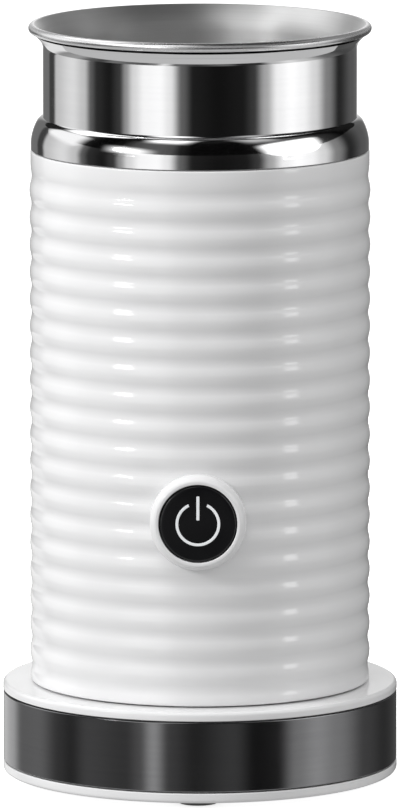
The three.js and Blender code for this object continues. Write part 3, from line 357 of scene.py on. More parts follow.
def symbol_with_painted_glow():
    """The white light guide that shows through the button, with a faint painted glow from its emission (no
    lamp lights it) and a tint that changes in slow random patches.
    """
    material, tree, shader = new_surface("symbol_with_painted_glow", Roughness=0.3)
    skin = effect(tree, "skin", 700.0)
    glow = blend_colour(tree, skin["Shade"], (0.94, 0.95, 0.96), (0.86, 0.88, 0.9))
    wire(tree, glow, shader.inputs["Base Color"])
    # Painted glow: the same tint feeds the emission, so the symbol shines a little with no lamp behind it.
    wire(tree, glow, shader.inputs["Emission Color"])
    shader.inputs["Emission Strength"].default_value = 0.1
    add_relief(tree, shader, skin["Height"], 0.1, 0.01)
    return material


FINISHES = {
    "white_plastic": moulded_plastic(
        "glossy_white_plastic", (0.86, 0.86, 0.865), (0.83, 0.83, 0.835), (0.07, 0.13), 650.0, (0.04, 0.02),
        dust=0.05, marks=24.0, IOR=1.5,
    ),
    "dark_steel": polished_metal(
        "dark_plated_steel", (0.31, 0.31, 0.315), (0.25, 0.25, 0.26), (0.1, 0.2), 900.0, (0.03, 0.01)
    ),
    "polished_steel": polished_metal(
        "mirror_steel", (0.95, 0.95, 0.955), (0.86, 0.86, 0.87), (0.05, 0.12), 900.0, (0.02, 0.005)
    ),
    "satin_steel": polished_metal(
        "satin_vessel_steel", (0.8, 0.8, 0.8), (0.68, 0.68, 0.68), (0.46, 0.52), 2400.0, (0.12, 0.02),
        Anisotropic=0.9, Anisotropic_Rotation=0.25,
    ),
    "lip_steel": polished_metal(
        "rolled_lip_steel", (0.88, 0.88, 0.885), (0.7, 0.7, 0.71), (0.26, 0.4), 700.0, (0.25, 0.03)
    ),
    "black_gloss": moulded_plastic(
        "piano_black", (0.006, 0.006, 0.007), (0.012, 0.012, 0.013), (0.12, 0.24), 600.0, (0.03, 0.01),
        dust=0.03, marks=90.0, IOR=1.48,
    ),
    "symbol_white": symbol_with_painted_glow(),
    "rubber": moulded_plastic(
        "grey_foot_rubber", (0.05, 0.05, 0.05), (0.085, 0.083, 0.08), (0.6, 0.8), 1400.0, (0.4, 0.08),
        dust=0.2, rubbed=(0.14, 0.14, 0.135),
    ),
    "black_plastic": moulded_plastic(
        "textured_black_plastic", (0.022, 0.022, 0.023), (0.034, 0.034, 0.035), (0.42, 0.58), 1800.0,
        (0.35, 0.05), dust=0.08, rubbed=(0.07, 0.07, 0.07),
    ),
    "brass": plated_metal(
        "contact_brass", (0.78, 0.58, 0.27), (0.6, 0.42, 0.2), (0.18, 0.36), 1200.0, (0.1, 0.02)
    ),
    "zinc": plated_metal(
        "zinc_plate", (0.56, 0.57, 0.58), (0.42, 0.43, 0.44), (0.25, 0.45), 500.0, (0.2, 0.04)
    ),
    "magnet": plated_metal(
        "nickel_ferrite", (0.3, 0.3, 0.31), (0.2, 0.2, 0.21), (0.3, 0.5), 700.0, (0.3, 0.05)
    ),
    "aluminium": plated_metal(
        "bare_aluminium", (0.68, 0.69, 0.7), (0.56, 0.57, 0.58), (0.28, 0.44), 900.0, (0.2, 0.03)
    ),
    "circuit_board": moulded_plastic(
        "green_solder_mask", (0.03, 0.17, 0.07), (0.05, 0.24, 0.1), (0.3, 0.45), 1100.0, (0.2, 0.03),
        dust=0.1, rubbed=(0.2, 0.3, 0.18),
    ),
    "lead_red": moulded_plastic(
        "red_silicone", (0.48, 0.04, 0.03), (0.4, 0.03, 0.025), (0.45, 0.6), 1500.0, (0.2, 0.02), dust=0.1
    ),
    "lead_blue": moulded_plastic(
        "blue_silicone", (0.04, 0.09, 0.42), (0.03, 0.07, 0.34), (0.45, 0.6), 1500.0, (0.2, 0.02), dust=0.1
    ),
}

for row in frame["record"]["subparts"]:
    node = frame["nodes"][row["node"]]
    for holder in node.material_slots:
        holder.material = FINISHES[row["material_slot"]]

BODY_OF = {name: body for body, names in frame["record"]["behaviour"]["bodies"].items() for name in names}
SLOT_OF = {row["node"]: row["material_slot"] for row in frame["record"]["subparts"]}

# ---- Shape helpers ----


def to_data(name, mesh):
    """Turns a bmesh into mesh data and frees it."""
    data = bpy.data.meshes.new(name)
    mesh.to_mesh(data)
    mesh.free()
    return data


def each_once(items):
    """The items without repeats, in the order in which they are met, which is the same in every run."""
    return list(dict.fromkeys(items))


def turn(mesh, degrees, axis):
    """Turns a shape round X or Z through the origin."""
    way = Matrix.Rotation(math.radians(degrees), 3, axis)
    bmesh.ops.rotate(mesh, verts=mesh.verts[:], cent=(0, 0, 0), matrix=way)


def outline(mesh, points, closed, segments):
    """Draws corners of (radius, height) or (radius, height, rounding), in millimetres, and rounds them."""
    corners = [mesh.verts.new((point[0], 0, point[1])) for point in points]
    pairs = list(zip(corners, corners[1:]))
    if closed:
        pairs.append((corners[-1], corners[0]))
    for pair in pairs:
        mesh.edges.new(pair)
    for point, corner in zip(points, corners):
        if len(point) == 3:
            bmesh.ops.bevel(
                mesh, geom=[corner], offset=point[2], offset_type="OFFSET", segments=segments,
                profile=0.5, affect="VERTICES", material=-1,
            )


def turned(points, closed=False, steps=SHELL_STEPS, degrees=360.0, segments=ROUND_SEGMENTS):
    """Spins an outline round the upright axis.

    A closed outline makes a ring, and an open one starts and ends on the axis.
    """
    mesh = bmesh.new()
    outline(mesh, points, closed, segments)
    whole = degrees == 360.0
    bmesh.ops.spin(
        mesh, geom=mesh.verts[:] + mesh.edges[:], cent=(0, 0, 0), axis=(0, 0, 1), dvec=(0, 0, 0),
        angle=math.radians(degrees), steps=steps, use_merge=whole, use_duplicate=False,
    )
    bmesh.ops.remove_doubles(mesh, verts=mesh.verts[:], dist=1e-4)
    bmesh.ops.recalc_face_normals(mesh, faces=mesh.faces[:])
    return mesh


def lift(mesh, x=0.0, y=0.0, z=0.0):
    bmesh.ops.translate(mesh, verts=mesh.verts[:], vec=(x, y, z))
    return mesh


def face_front(mesh, height):
    """Turns a shape made round the upright axis so that its top looks out of the jug's front."""
    turn(mesh, 90, "X")
    return lift(mesh, z=height)


def piece(name, mesh, *nodes, sharp=32.0, even=True):
    """Makes an object of a shape in millimetres.

    It rides with, and takes its finish from, the nodes that it replaces.
    """
    data = to_data(name, mesh)
    data.transform(Matrix.Scale(MM, 4))
    data.shade_smooth()
    data.set_sharp_from_angle(angle=math.radians(sharp))
    made = bpy.data.objects.new(name, data)
    bpy.context.scene.collection.objects.link(made)
    data.materials.append(FINISHES[SLOT_OF[nodes[0]]])
    if even:
        even_shading = made.modifiers.new("even_shading", "WEIGHTED_NORMAL")
        even_shading.keep_sharp = True
        even_shading.weight = 100
    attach(made, BODY_OF[nodes[0]])
    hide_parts(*nodes)
    return made


def span(node):
    """Lowest and highest corner of a CAD node, in millimetres."""
    low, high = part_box(node)
    return low / MM, high / MM


def middle(node):
    low, high = span(node)
    return (low + high) / 2


def open_round_hole(mesh, way, height, radius):
    """Opens a round hole, seen along Y on the side that way says, in each wall with fine rows there.

    Where two walls are opened, the wall between their rims is closed.
    """
    centre = Vector((0, 0, height))

    def off_axis(point):
        return Vector((point.x, 0, point.z)) - centre

    near = [
        vert for vert in mesh.verts
        if vert.co.y * way > 0 and off_axis(vert.co).length < radius * 1.8
    ]
    faces = each_once(face for vert in near for face in vert.link_faces)
    edges = each_once(edge for face in faces for edge in face.edges)
    bmesh.ops.subdivide_edges(mesh, edges=edges, cuts=2, use_grid_fill=True)
    inside = [
        face for face in mesh.faces
        if face.calc_center_median().y * way > 0 and off_axis(face.calc_center_median()).length < radius
    ]
    bmesh.ops.delete(mesh, geom=inside, context="FACES")
    open_verts = each_once(vert for edge in mesh.edges if edge.is_boundary for vert in edge.verts)
    rim = [vert for vert in open_verts if vert.co.y * way > 0 and off_axis(vert.co).length < radius * 1.6]
    for vert in rim:
        arm = off_axis(vert.co)
        arm.length = radius
        vert.co.x, vert.co.z = arm.x, height + arm.z
    loops = [edge for edge in mesh.edges if edge.is_boundary and all(v in rim for v in edge.verts)]
    bmesh.ops.bridge_loops(mesh, edges=loops)
    bmesh.ops.recalc_face_normals(mesh, faces=mesh.faces[:])


SCREW_HEAD_HEIGHT = 1.5
POCKET_GAP = 0.25  # round a screw's head
POCKET_ROOM = 0.1  # above it
POCKET_ROW = 1.35


def screw_rows(first_screw):
    """Radii of the rows that an underside needs round its screws, for their pockets to be round."""
    ring = middle(first_screw).xy.length
    return [ring + step * POCKET_ROW for step in range(-3, 3)]


def sink_screw_pockets(mesh, screws, floor):
    """Sinks a round pocket into a flat underside for each screw's head."""
    for screw in screws:
        low, high = span(screw)
        centre, radius = middle(screw).xy, (high.x - low.x) / 2 + POCKET_GAP

        def flat_and_near(points, reach):
            return all(abs(p.z - floor) < 1e-3 and (p.xy - centre).length < reach for p in points)

        patch = [f for f in mesh.faces if flat_and_near([f.calc_center_median()], radius * 1.7)]
        edges = each_once(edge for face in patch for edge in face.edges)
        bmesh.ops.subdivide_edges(mesh, edges=edges, cuts=2, use_grid_fill=True)
        inside = [f for f in mesh.faces if flat_and_near([f.calc_center_median()], radius)]
        bmesh.ops.delete(mesh, geom=inside, context="FACES")
        rim = [
            edge for edge in mesh.edges
            if edge.is_boundary and flat_and_near([v.co for v in edge.verts], radius * 1.4)
        ]
        for vert in each_once(v for edge in rim for v in edge.verts):
            vert.co.xy = centre + (vert.co.xy - centre).normalized() * radius
        made = bmesh.ops.extrude_edge_only(mesh, edges=rim)["geom"]
        top = [item for item in made if isinstance(item, bmesh.types.BMVert)]
        depth = low.z + SCREW_HEAD_HEIGHT + POCKET_ROOM - floor
        bmesh.ops.translate(mesh, verts=top, vec=(0, 0, depth))
        loop = [item for item in made if isinstance(item, bmesh.types.BMEdge) and item.is_boundary]
        bmesh.ops.contextual_create(mesh, geom=loop)
    bmesh.ops.recalc_face_normals(mesh, faces=mesh.faces[:])


# ---- Base ----

BASE_WALL = 1.75
BAND_ROWS = 8
BAND_EDGE = 0.3  # height of the band's rounded edge
BAND_GAP = 0.3  # between the band and the rings and spigots that hold it
SPIGOT_WALL = 1.5
BASE_FLOOR = 2
GLAND_HOLE_R = 4.3


def make_base_underside():
    low, high = span("base_underside")
    rim = high.x
    visible_top = span("base_band")[0].z - BAND_GAP
    inner = span("base_band")[1].x - BASE_WALL - BAND_GAP
    shape = turned([
        (0, low.z), *[(radius, low.z) for radius in screw_rows("base_screw_1")], (rim, low.z, 0.9),
        (rim, visible_top, 0.25), (inner, visible_top), (inner, high.z, 0.3),
        (inner - SPIGOT_WALL, high.z, 0.3), (inner - SPIGOT_WALL, low.z + BASE_FLOOR),
        (0, low.z + BASE_FLOOR),
    ])
    sink_screw_pockets(shape, [f"base_screw_{place}" for place in (1, 2, 3)], low.z)
    piece("base_lower_ring", shape, "base_underside")


def make_feet():
    for index in (1, 2, 3):
        node = f"base_foot_{index}"
        low, high = span(node)
        centre = middle(node)
        foot_r = (high.x - low.x) / 2
        ring = foot_r - 1.6
        shape = turned([
            (0, low.z + 0.35), (ring - 0.5, low.z + 0.35, 0.1), (ring - 0.2, low.z, 0.1),
            (foot_r - 0.1, low.z, 0.5), (foot_r, high.z, 0.15), (0, high.z),
        ], steps=SMALL_STEPS)
        piece(f"rubber_foot_{index}", lift(shape, centre.x, centre.y), node)


def make_base_band():
    low, high = span("base_band")
    outer, inner = high.x, high.x - BASE_WALL
    height = high.z - low.z
    rows = [low.z + height * row / BAND_ROWS for row in range(1, BAND_ROWS)]
    shape = turned([
        (outer, low.z, 0.25), *[(outer, z) for z in rows], (outer, high.z, 0.25),
        (inner, high.z, 0.2), *[(inner, z) for z in reversed(rows)], (inner, low.z, 0.2),
    ], closed=True)
    open_round_hole(shape, 1, middle("cord_gland").z, GLAND_HOLE_R)
    for vert in shape.verts:
        if low.z + BAND_EDGE < vert.co.z < high.z - BAND_EDGE:
            wall = outer if vert.co.xy.length > (outer + inner) / 2 else inner
            vert.co.xy = vert.co.xy.normalized() * wall
    piece("base_steel_band", shape, "base_band")


def make_base_top_plate():
    high = span("base_top_plate")[1]
    rim = high.x
    thick = 2.1
    under = high.z - thick
    hole = span("base_connector")[1].x - 2.7
    spigot = span("base_band")[1].x - BASE_WALL - BAND_GAP
    shape = turned([
        (hole, under), (spigot - SPIGOT_WALL, under), (spigot - SPIGOT_WALL, under - thick, 0.3),
        (spigot, under - thick, 0.3), (spigot, under), (rim, under, 0.25), (rim, high.z, 0.9),
        (hole, high.z, 0.4),
    ], closed=True)
    piece("base_top_ring", shape, "base_top_plate")


def make_cord_gland():
    low, high = span("cord_gland")
    bore, body, flange = 3.0, 4.0, (high.x - low.x) / 2
    length = high.y - low.y
    shape = turned([
        (bore, 0, 0.2), (flange, 0, 0.3), (flange, 1.5, 0.3), (body, 1.5), (body, length, 0.35),
        (bore, length, 0.45),
    ], closed=True, steps=SMALL_STEPS)
    turn(shape, -90, "X")
    piece("cord_gland_bush", lift(shape, 0, low.y, middle("cord_gland").z), "cord_gland")


def make_base_connector():
    low, high = span("base_connector")
    plate = span("base_top_plate")[1].z
    body = high.x - 3
    tower = 8.0
    deck = plate + 0.2
    shape = turned([
        (0, low.z), (body, low.z, 0.4), (body, deck - 5.1), (high.x, deck - 5.1, 0.2),
        (high.x, deck - 2.6, 0.2), (body, deck - 2.6), (body, deck, 0.3), (tower, deck, 0.25),
        (tower, high.z, 0.6), (6.3, high.z, 0.15), (6.3, high.z - 3.3), (4.9, high.z - 3.3),
        (4.9, high.z, 0.15), (1.9, high.z, 0.3), (1.9, low.z + 2), (0, low.z + 2),
    ], steps=96)
    piece("base_plug_tower", shape, "base_connector")
    pin_low, pin_high = span("contact_pin")
    pin = turned([
        (0, pin_low.z), (1.6, pin_low.z, 0.2), (1.6, pin_high.z - 1.2, 0.5), (1.0, pin_high.z, 0.6),
        (0, pin_high.z),
    ], steps=SMALL_STEPS)
    piece("plug_pin", pin, "contact_pin")
    ring_low, ring_high = span("contact_ring")
    ring = turned([
        (5.2, ring_low.z), (6.0, ring_low.z), (6.0, ring_high.z, 0.2), (5.2, ring_high.z, 0.2),
    ], closed=True, steps=SMALL_STEPS)
    piece("plug_ring", ring, "contact_ring")


def make_screw(node, name):
    """A pan-head screw with a cross recess, its head looking down."""
    low, high = span(node)
    centre = middle(node)
    head_r = (high.x - low.x) / 2
    length = high.z - low.z
    shape = turned([
        (0, 0), (head_r * 0.75, 0, 0.3), (head_r, -0.75, 0.35), (head_r, -SCREW_HEAD_HEIGHT, 0.1),
        (1.2, -SCREW_HEAD_HEIGHT), (1.15, -length + 1.1), (0, -length),
    ], steps=24)
    top = [face for face in shape.faces if face.calc_center_median().z > -0.01]
    bmesh.ops.inset_region(shape, faces=top, thickness=head_r * 0.2, depth=0)
    slots = [
        face for face in top
        if min(abs(face.calc_center_median().x), abs(face.calc_center_median().y)) < head_r * 0.22
    ]
    bmesh.ops.translate(shape, verts=each_once(v for f in slots for v in f.verts), vec=(0, 0, -0.45))
    bmesh.ops.scale(shape, verts=shape.verts[:], vec=(1, 1, -1))
    bmesh.ops.recalc_face_normals(shape, faces=shape.faces[:])
    piece(name, lift(shape, centre.x, centre.y, low.z), node, even=False)


# ---- Jug ----

RIB_COUNT = 18
RIB_DEPTH = 0.65
FIRST_VALLEY = 3.6
RIB_PITCH = 6.505
CREST_START = 0.36  # share of the pitch from a valley to where the crest starts
SLEEVE_WALL = 2.2
BUTTON_HOLE_R = 10.9
JUG_STEPS = 176  # round the jug's shells


def make_ribbed_sleeve():
    low, high = span("ribbed_sleeve")
    crest = high.x
    shoulder = span("steel_collar")[1].x + 0.1
    top = span("steel_collar")[0].z - 0.3
    points = [(crest - SLEEVE_WALL, low.z), (crest - 0.1, low.z, 0.5)]
    for rib in range(RIB_COUNT + 1):
        valley = low.z + FIRST_VALLEY + rib * RIB_PITCH
        points.append((crest, valley - CREST_START * RIB_PITCH, 1.0))
        points.append((crest - RIB_DEPTH, valley, 1.2))
        points.append((crest if rib < RIB_COUNT else shoulder, valley + CREST_START * RIB_PITCH, 1.0))
    tongue = crest - 1.4
    points += [(shoulder, top, 0.4), (tongue, top), (tongue, high.z), (crest - SLEEVE_WALL, high.z)]
    shell = turned(points, closed=True, steps=JUG_STEPS)
    # The inner wall is one tall row, so only the ribbed wall is opened.
    open_round_hole(shell, -1, middle("button_bezel").z, BUTTON_HOLE_R)
    piece("ribbed_jug_sleeve", shell, "ribbed_sleeve", sharp=40, even=False)


COLLAR_SHEET = 0.6


def make_steel_collar():
    low, high = span("steel_collar")
    shoulder = high.x
    neck = shoulder - 2.9
    waist = low.z + 8.7
    flare = high.z
    outer = [
        (shoulder, low.z), (shoulder, low.z + 1.4), (shoulder - 0.1, low.z + 4.4, 2.6),
        (neck + 0.95, low.z + 7.3, 1.0), (neck, low.z + 7.6, 0.5), (neck, waist), (neck, flare - 3.4),
        (neck, flare - 2.0, 1.1), (neck + 1.75, flare, 0.08),
    ]
    inner = [(point[0] - COLLAR_SHEET, *point[1:]) for point in reversed(outer)]
    shell = turned(outer + inner, closed=True, steps=JUG_STEPS, segments=8)
    piece("polished_neck_collar", shell, "steel_collar", sharp=50, even=False)


def make_inner_vessel():
    low, high = span("inner_vessel")
    rim = high.x
    roll = 1.05
    neck_top = span("steel_collar")[1].z - 2.2
    flare_top = span("steel_collar")[1].z
    outer = rim - 4.4
    wall = 0.7
    lip_r, lip_z = rim - roll, high.z - roll
    lip = [
        (lip_r + roll * math.cos(math.radians(curl)), lip_z + roll * math.sin(math.radians(curl)))
        for curl in range(-110, 131, 12)
    ]
    points = [
        (0, low.z), (outer, low.z, 6.7), (outer, neck_top + 0.6, 0.5), (outer + 1.05, flare_top - 0.4, 0.5),
        (outer + 2.2, flare_top + 0.6, 0.2), *lip, (outer + 0.5, flare_top + 0.3, 1.3),
        (outer - wall, neck_top, 1.4), (outer - wall, low.z + 0.8, 6.0), (0, low.z + 0.8),
    ]
    shell = turned(points, steps=JUG_STEPS, segments=6)
    vessel = piece("milk_vessel", shell, "inner_vessel", sharp=50, even=False)
    vessel.data.materials.append(FINISHES["polished_steel"])
    vessel.data.materials.append(FINISHES["lip_steel"])
    for face in vessel.data.polygons:
        radius, height = math.hypot(face.center.x, face.center.y) / MM, face.center.z / MM
        outward = face.normal.xy.dot(face.center.xy) > 0
        if outward and outer < radius and height < lip_z - 0.6:
            face.material_index = 1
        elif radius > lip_r - 0.2:
            face.material_index = 2


def make_bottom_cover():
    low, high = span("bottom_cover")
    floor_top = low.z + 2.6
    hole = 14.0
    shape = turned([
        (hole, low.z, 0.4), *[(radius, low.z) for radius in screw_rows("cover_screw_1")],
        (high.x, low.z, 0.4), (high.x, floor_top), (hole, floor_top),
    ], closed=True)
    sink_screw_pockets(shape, [f"cover_screw_{place}" for place in (1, 2, 3)], low.z)
    piece("jug_bottom_cover", shape, "bottom_cover")


def make_jug_connector():
    low, high = span("jug_connector")
    body = high.x - 2.3
    clip = span("bottom_cover")[0].z + 2.9
    roof = low.z + 7.8
    shape = turned([
        (0, roof + 3.1), (2.0, roof + 3.1), (2.0, roof, 0.3), (8.4, roof), (8.4, low.z, 0.5),
        (body, low.z, 0.3), (body, clip), (high.x, clip, 0.2), (high.x, clip + 1.6, 0.2),
        (body, clip + 1.6), (body, high.z, 0.4), (0, high.z),
    ], steps=96)
    piece("jug_socket", shape, "jug_connector")


# ---- Button ----

SYMBOL_R = 4.92
SYMBOL_STROKE = 0.7
SYMBOL_GAP = 25.7  # degrees of the ring left open on each side of the bar


def make_button_bezel():
    low, high = span("button_bezel")
    front = -low.y
    rim = (high.x - low.x) / 2
    bore = rim - 2.1
    spigot = rim - 0.95
    shape = turned([
        (bore, front - 7), (spigot, front - 7), (spigot, front - 5.2), (rim, front - 5.2),
        (rim, front - 1.8, 0.5), (rim - 0.9, front - 0.1, 0.8), (rim - 1.4, front, 0.2), (bore, front, 0.25),
    ], closed=True, steps=96)
    face_front(shape, middle("button_bezel").z)
    piece("button_surround", shape, "button_bezel", sharp=50, even=False)


def make_button_cap():
    low, high = span("button_cap")
    front, back = -low.y, -high.y
    flange = (high.x - low.x) / 2
    cap = flange - 1.05
    shape = turned([
        (0, front - 2), (cap - 1.25, front - 2), (cap - 1.25, back), (flange, back), (flange, back + 1.2),
        (cap, back + 1.2), (cap, front - 0.05, 0.45), (cap - 1.6, front, 0.6), (0, front),
    ], steps=96)
    piece("push_button", face_front(shape, middle("button_cap").z), "button_cap", sharp=50)


def make_power_symbol():
    front = -span("button_cap")[0].y + 0.03
    half = SYMBOL_STROKE / 2
    back = front - 0.5
    ring = turned([
        (SYMBOL_R - half, back), (SYMBOL_R + half, back), (SYMBOL_R + half, front, 0.08),
        (SYMBOL_R - half, front, 0.08),
    ], closed=True, steps=60, degrees=360 - 2 * SYMBOL_GAP)
    bmesh.ops.holes_fill(ring, edges=[edge for edge in ring.edges if edge.is_boundary], sides=40)
    turn(ring, 90 + SYMBOL_GAP, "Z")
    made = bmesh.ops.create_cube(ring, size=1)
    bar = made["verts"]
    bmesh.ops.scale(ring, verts=bar, vec=(SYMBOL_STROKE, 5.7, 0.5))
    bmesh.ops.translate(ring, verts=bar, vec=(0, 3.75, front - 0.25))
    bar_edges = each_once(edge for vert in bar for edge in vert.link_edges)
    upright = [edge for edge in bar_edges if edge.calc_length() < 0.6]
    bmesh.ops.bevel(
        ring, geom=upright, offset=0.2, offset_type="OFFSET", segments=3, profile=0.5, affect="EDGES",
        material=-1,
    )
    bmesh.ops.recalc_face_normals(ring, faces=ring.faces[:])
    piece("power_sign", face_front(ring, middle("button_cap").z), "power_symbol", even=False)


# ---- Whisk ----

COIL_RING_R = 12.6
COIL_R = 2.0
COIL_TURNS = 30
COIL_WIRE_R = 0.5
STEPS_PER_TURN = 14


def make_whisk_hub():
    low, high = span("whisk_hub")
    lip = high.x
    cap = span("whisk_coil")[1].z + 0.3
    waist = COIL_RING_R - COIL_R - 0.9
    shape = turned([
        (0, high.z - 2.6), (2.3, high.z - 2.6), (2.3, low.z, 0.2), (2.9, low.z, 0.2), (2.9, low.z + 3.9),
        (8.3, low.z + 3.9), (8.3, low.z, 0.2), (lip, low.z, 0.2), (lip, low.z + 0.5, 0.2),
        (waist, low.z + 0.5, 0.2), (waist, cap, 0.2), (lip, cap, 0.2), (lip, cap + 0.5, 0.2),
        (6, cap + 1.4, 1.0), (5, high.z - 1.6, 0.8), (3, high.z - 0.4, 0.8), (0, high.z),
    ], steps=96)
    piece("whisk_wheel", shape, "whisk_hub", sharp=50)


def make_whisk_coil():
    low, high = span("whisk_coil")
    height = (low.z + high.z) / 2
    steps = COIL_TURNS * STEPS_PER_TURN
    path = bpy.data.curves.new("whisk_spring_path", "CURVE")
    path.dimensions = "3D"
    path.bevel_depth = COIL_WIRE_R
    path.bevel_resolution = 2
    line = path.splines.new("POLY")
    line.points.add(steps - 1)
    for index, point in enumerate(line.points):
        share = index / steps
        wound = math.tau * COIL_TURNS * share
        radius = COIL_RING_R + COIL_R * math.cos(wound)
        round_at = math.tau * share
        rise = height + COIL_R * math.sin(wound)
        point.co = (radius * math.cos(round_at), radius * math.sin(round_at), rise, 1)
    line.use_cyclic_u = True
    holder = bpy.data.objects.new("whisk_spring_path", path)
    bpy.context.scene.collection.objects.link(holder)
    shape = bmesh.new()
    shape.from_mesh(holder.to_mesh())
    bpy.data.objects.remove(holder)
    bmesh.ops.remove_doubles(shape, verts=shape.verts[:], dist=1e-4)
    bmesh.ops.recalc_face_normals(shape, faces=shape.faces[:])
    piece("whisk_spring", shape, "whisk_coil", sharp=70, even=False)


def make_whisk_spindle():
    low, high = span("whisk_spindle")
    shape = turned([
        (0, low.z), (2, low.z), (2, high.z - 1, 0.4), (1, high.z, 0.4), (0, high.z),
    ], steps=SMALL_STEPS)
    piece("whisk_post", shape, "whisk_spindle")


make_base_underside()
make_feet()
make_base_band()
make_base_top_plate()
make_cord_gland()
make_base_connector()
make_ribbed_sleeve()
make_steel_collar()
make_inner_vessel()
make_bottom_cover()
make_jug_connector()
make_button_bezel()
make_button_cap()
make_power_symbol()
make_whisk_hub()
make_whisk_coil()
make_whisk_spindle()
for place in (1, 2, 3):
    make_screw(f"base_screw_{place}", f"base_fixing_screw_{place}")
    make_screw(f"cover_screw_{place}", f"cover_fixing_screw_{place}")

# ---- Studio ----

# Lengths here are in metres.
PANEL_DISTANCE = 0.9
CARD_DISTANCE = 0.88  # just inside the panels
SOFTBOX_DISTANCE = 0.86
SHOULDER_HEIGHT = 0.155
LAMPS_AIM_AT = 0.09
PANEL_JOIN = -0.05  # the upper ring stands on the lower one here
PANEL_TOP = 0.44
HAZE_TOP = 1.1
PANEL_FOOT = -0.42

# Brightness of the panels that stand round the object, by the direction they stand in: degrees from the
# camera's side, towards +X. The upper ring is level with the neck, the lower one with the base.
UPPER_PANELS = [
    (-180, 0.9), (-163, 0.16), (-145, 0.155), (-141, 0.05), (-134, 0.05), (-128, 0.55), (-105, 0.75),
    (-92, 0.56), (-85, 0.1), (-79, 0.025), (-68, 0.01), (-59, 0.04), (-54, 0.3), (-48, 0.72), (-39, 1.0),
    (-28, 1.05), (-21, 0.86), (-12.5, 0.12), (-4, 0.012), (14, 0.006), (31, 0.01), (40, 0.04), (49, 0.4),
    (59, 0.95), (70, 1.1), (80, 1.0), (92, 0.72), (106, 0.22), (122, 0.02), (146, 0.09), (163, 0.12),
    (180, 0.9),
]
LOWER_PANELS = [
    (-180, 0.2), (-155, 0.8), (-140, 0.78), (-126, 0.28), (-106, 0.33), (-88, 0.1), (-79, 0.06),
    (-67, 0.16), (-42, 0.1), (-34, 0.2), (-26, 0.75), (-17, 0.13), (-2, 0.05), (20, 0.12), (32, 0.02),
    (46, 0.03), (58, 0.5), (72, 0.75), (86, 0.55), (112, 0.14), (136, 0.06), (164, 0.09), (180, 0.12),
]
# The same for the cards that light the inside of the vessel.
VESSEL_CARDS = [
    (-180, 0.3), (-128, 0.4), (-108, 0.5), (-90, 0.8), (-60, 1.2), (-27, 1.25), (-22, 0.28), (90, 0.26),
    (160, 0.2), (180, 0.3),
]


def direction(azimuth, elevation):
    """The way out from the middle: degrees from the camera's side towards +X, and degrees up."""
    swing, rise = math.radians(azimuth), math.radians(elevation)
    return Vector((math.sin(swing) * math.cos(rise), -math.cos(swing) * math.cos(rise), math.sin(rise)))


def studio_object(name, data):
    made = bpy.data.objects.new(name, data)
    bpy.context.scene.collection.objects.link(made)
    return made


def only_in_reflections(made):
    made.visible_camera = False
    made.visible_diffuse = False
    made.visible_shadow = False
    made.visible_transmission = False
    made.visible_volume_scatter = False


def glowing(name, strength):
    material = bpy.data.materials.new(name)
    material.use_nodes = True
    tree = material.node_tree
    tree.nodes.clear()
    light = put_node(tree, "ShaderNodeEmission")
    light.inputs["Strength"].default_value = strength
    wire(tree, light.outputs[0], put_node(tree, "ShaderNodeOutputMaterial").inputs[0])
    return material, tree, light


def surface_of(tree):
    """The socket that takes a material's surface."""
    return next(node for node in tree.nodes if node.type == "OUTPUT_MATERIAL").inputs[0]


def mix_shaders(tree, amount, first, second):
    node = put_node(tree, "ShaderNodeMixShader")
    for socket, value in zip(node.inputs, (amount, first, second)):
        wire(tree, value, socket)
    return node.outputs[0]


def ring_of_panels(name, panels, foot, top, strength=1.0, distance=PANEL_DISTANCE):
    """A ring of panels whose brightness changes smoothly from one direction to the next."""
    mesh = bmesh.new()
    ends = [mesh.verts.new((0, distance, foot)), mesh.verts.new((0, distance, top))]
    mesh.edges.new(ends)
    bmesh.ops.spin(
        mesh, geom=mesh.verts[:] + mesh.edges[:], cent=(0, 0, 0), axis=(0, 0, 1), dvec=(0, 0, 0),
        angle=math.tau, steps=180, use_merge=True, use_duplicate=False,
    )
    data = to_data(name, mesh)
    material, tree, light = glowing(name + "_light", strength)
    place = put_node(tree, "ShaderNodeTexCoord").outputs["Object"]
    split = put_node(tree, "ShaderNodeSeparateXYZ")
    wire(tree, place, split.inputs[0])
    backward = maths(tree, "MULTIPLY", split.outputs["Y"], -1)
    angle = maths(tree, "ARCTAN2", split.outputs["X"], backward)
    share = maths(tree, "ADD", maths(tree, "DIVIDE", angle, math.tau), 0.5)
    ramp = put_node(tree, "ShaderNodeValToRGB")
    ramp.color_ramp.interpolation = "EASE"
    stops = ramp.color_ramp.elements
    for index, (azimuth, brightness) in enumerate(panels):
        where = (azimuth + 180) / 360
        stop = stops[index] if index < 2 else stops.new(where)
        stop.position = where
        stop.color = (brightness, brightness, brightness, 1)
    wire(tree, share, ramp.inputs[0])
    wire(tree, ramp.outputs[0], light.inputs["Color"])
    data.materials.append(material)
    made = studio_object(name, data)
    only_in_reflections(made)
    return made


def glow_below():
    """A broad pale card under everything, seen by the faces that look down."""
    mesh = bmesh.new()
    bmesh.ops.create_circle(mesh, cap_ends=True, segments=64, radius=PANEL_DISTANCE)
    data = to_data("card_below", lift(mesh, z=PANEL_FOOT))
    data.materials.append(glowing("card_below_light", 0.5)[0])
    only_in_reflections(studio_object("card_below", data))


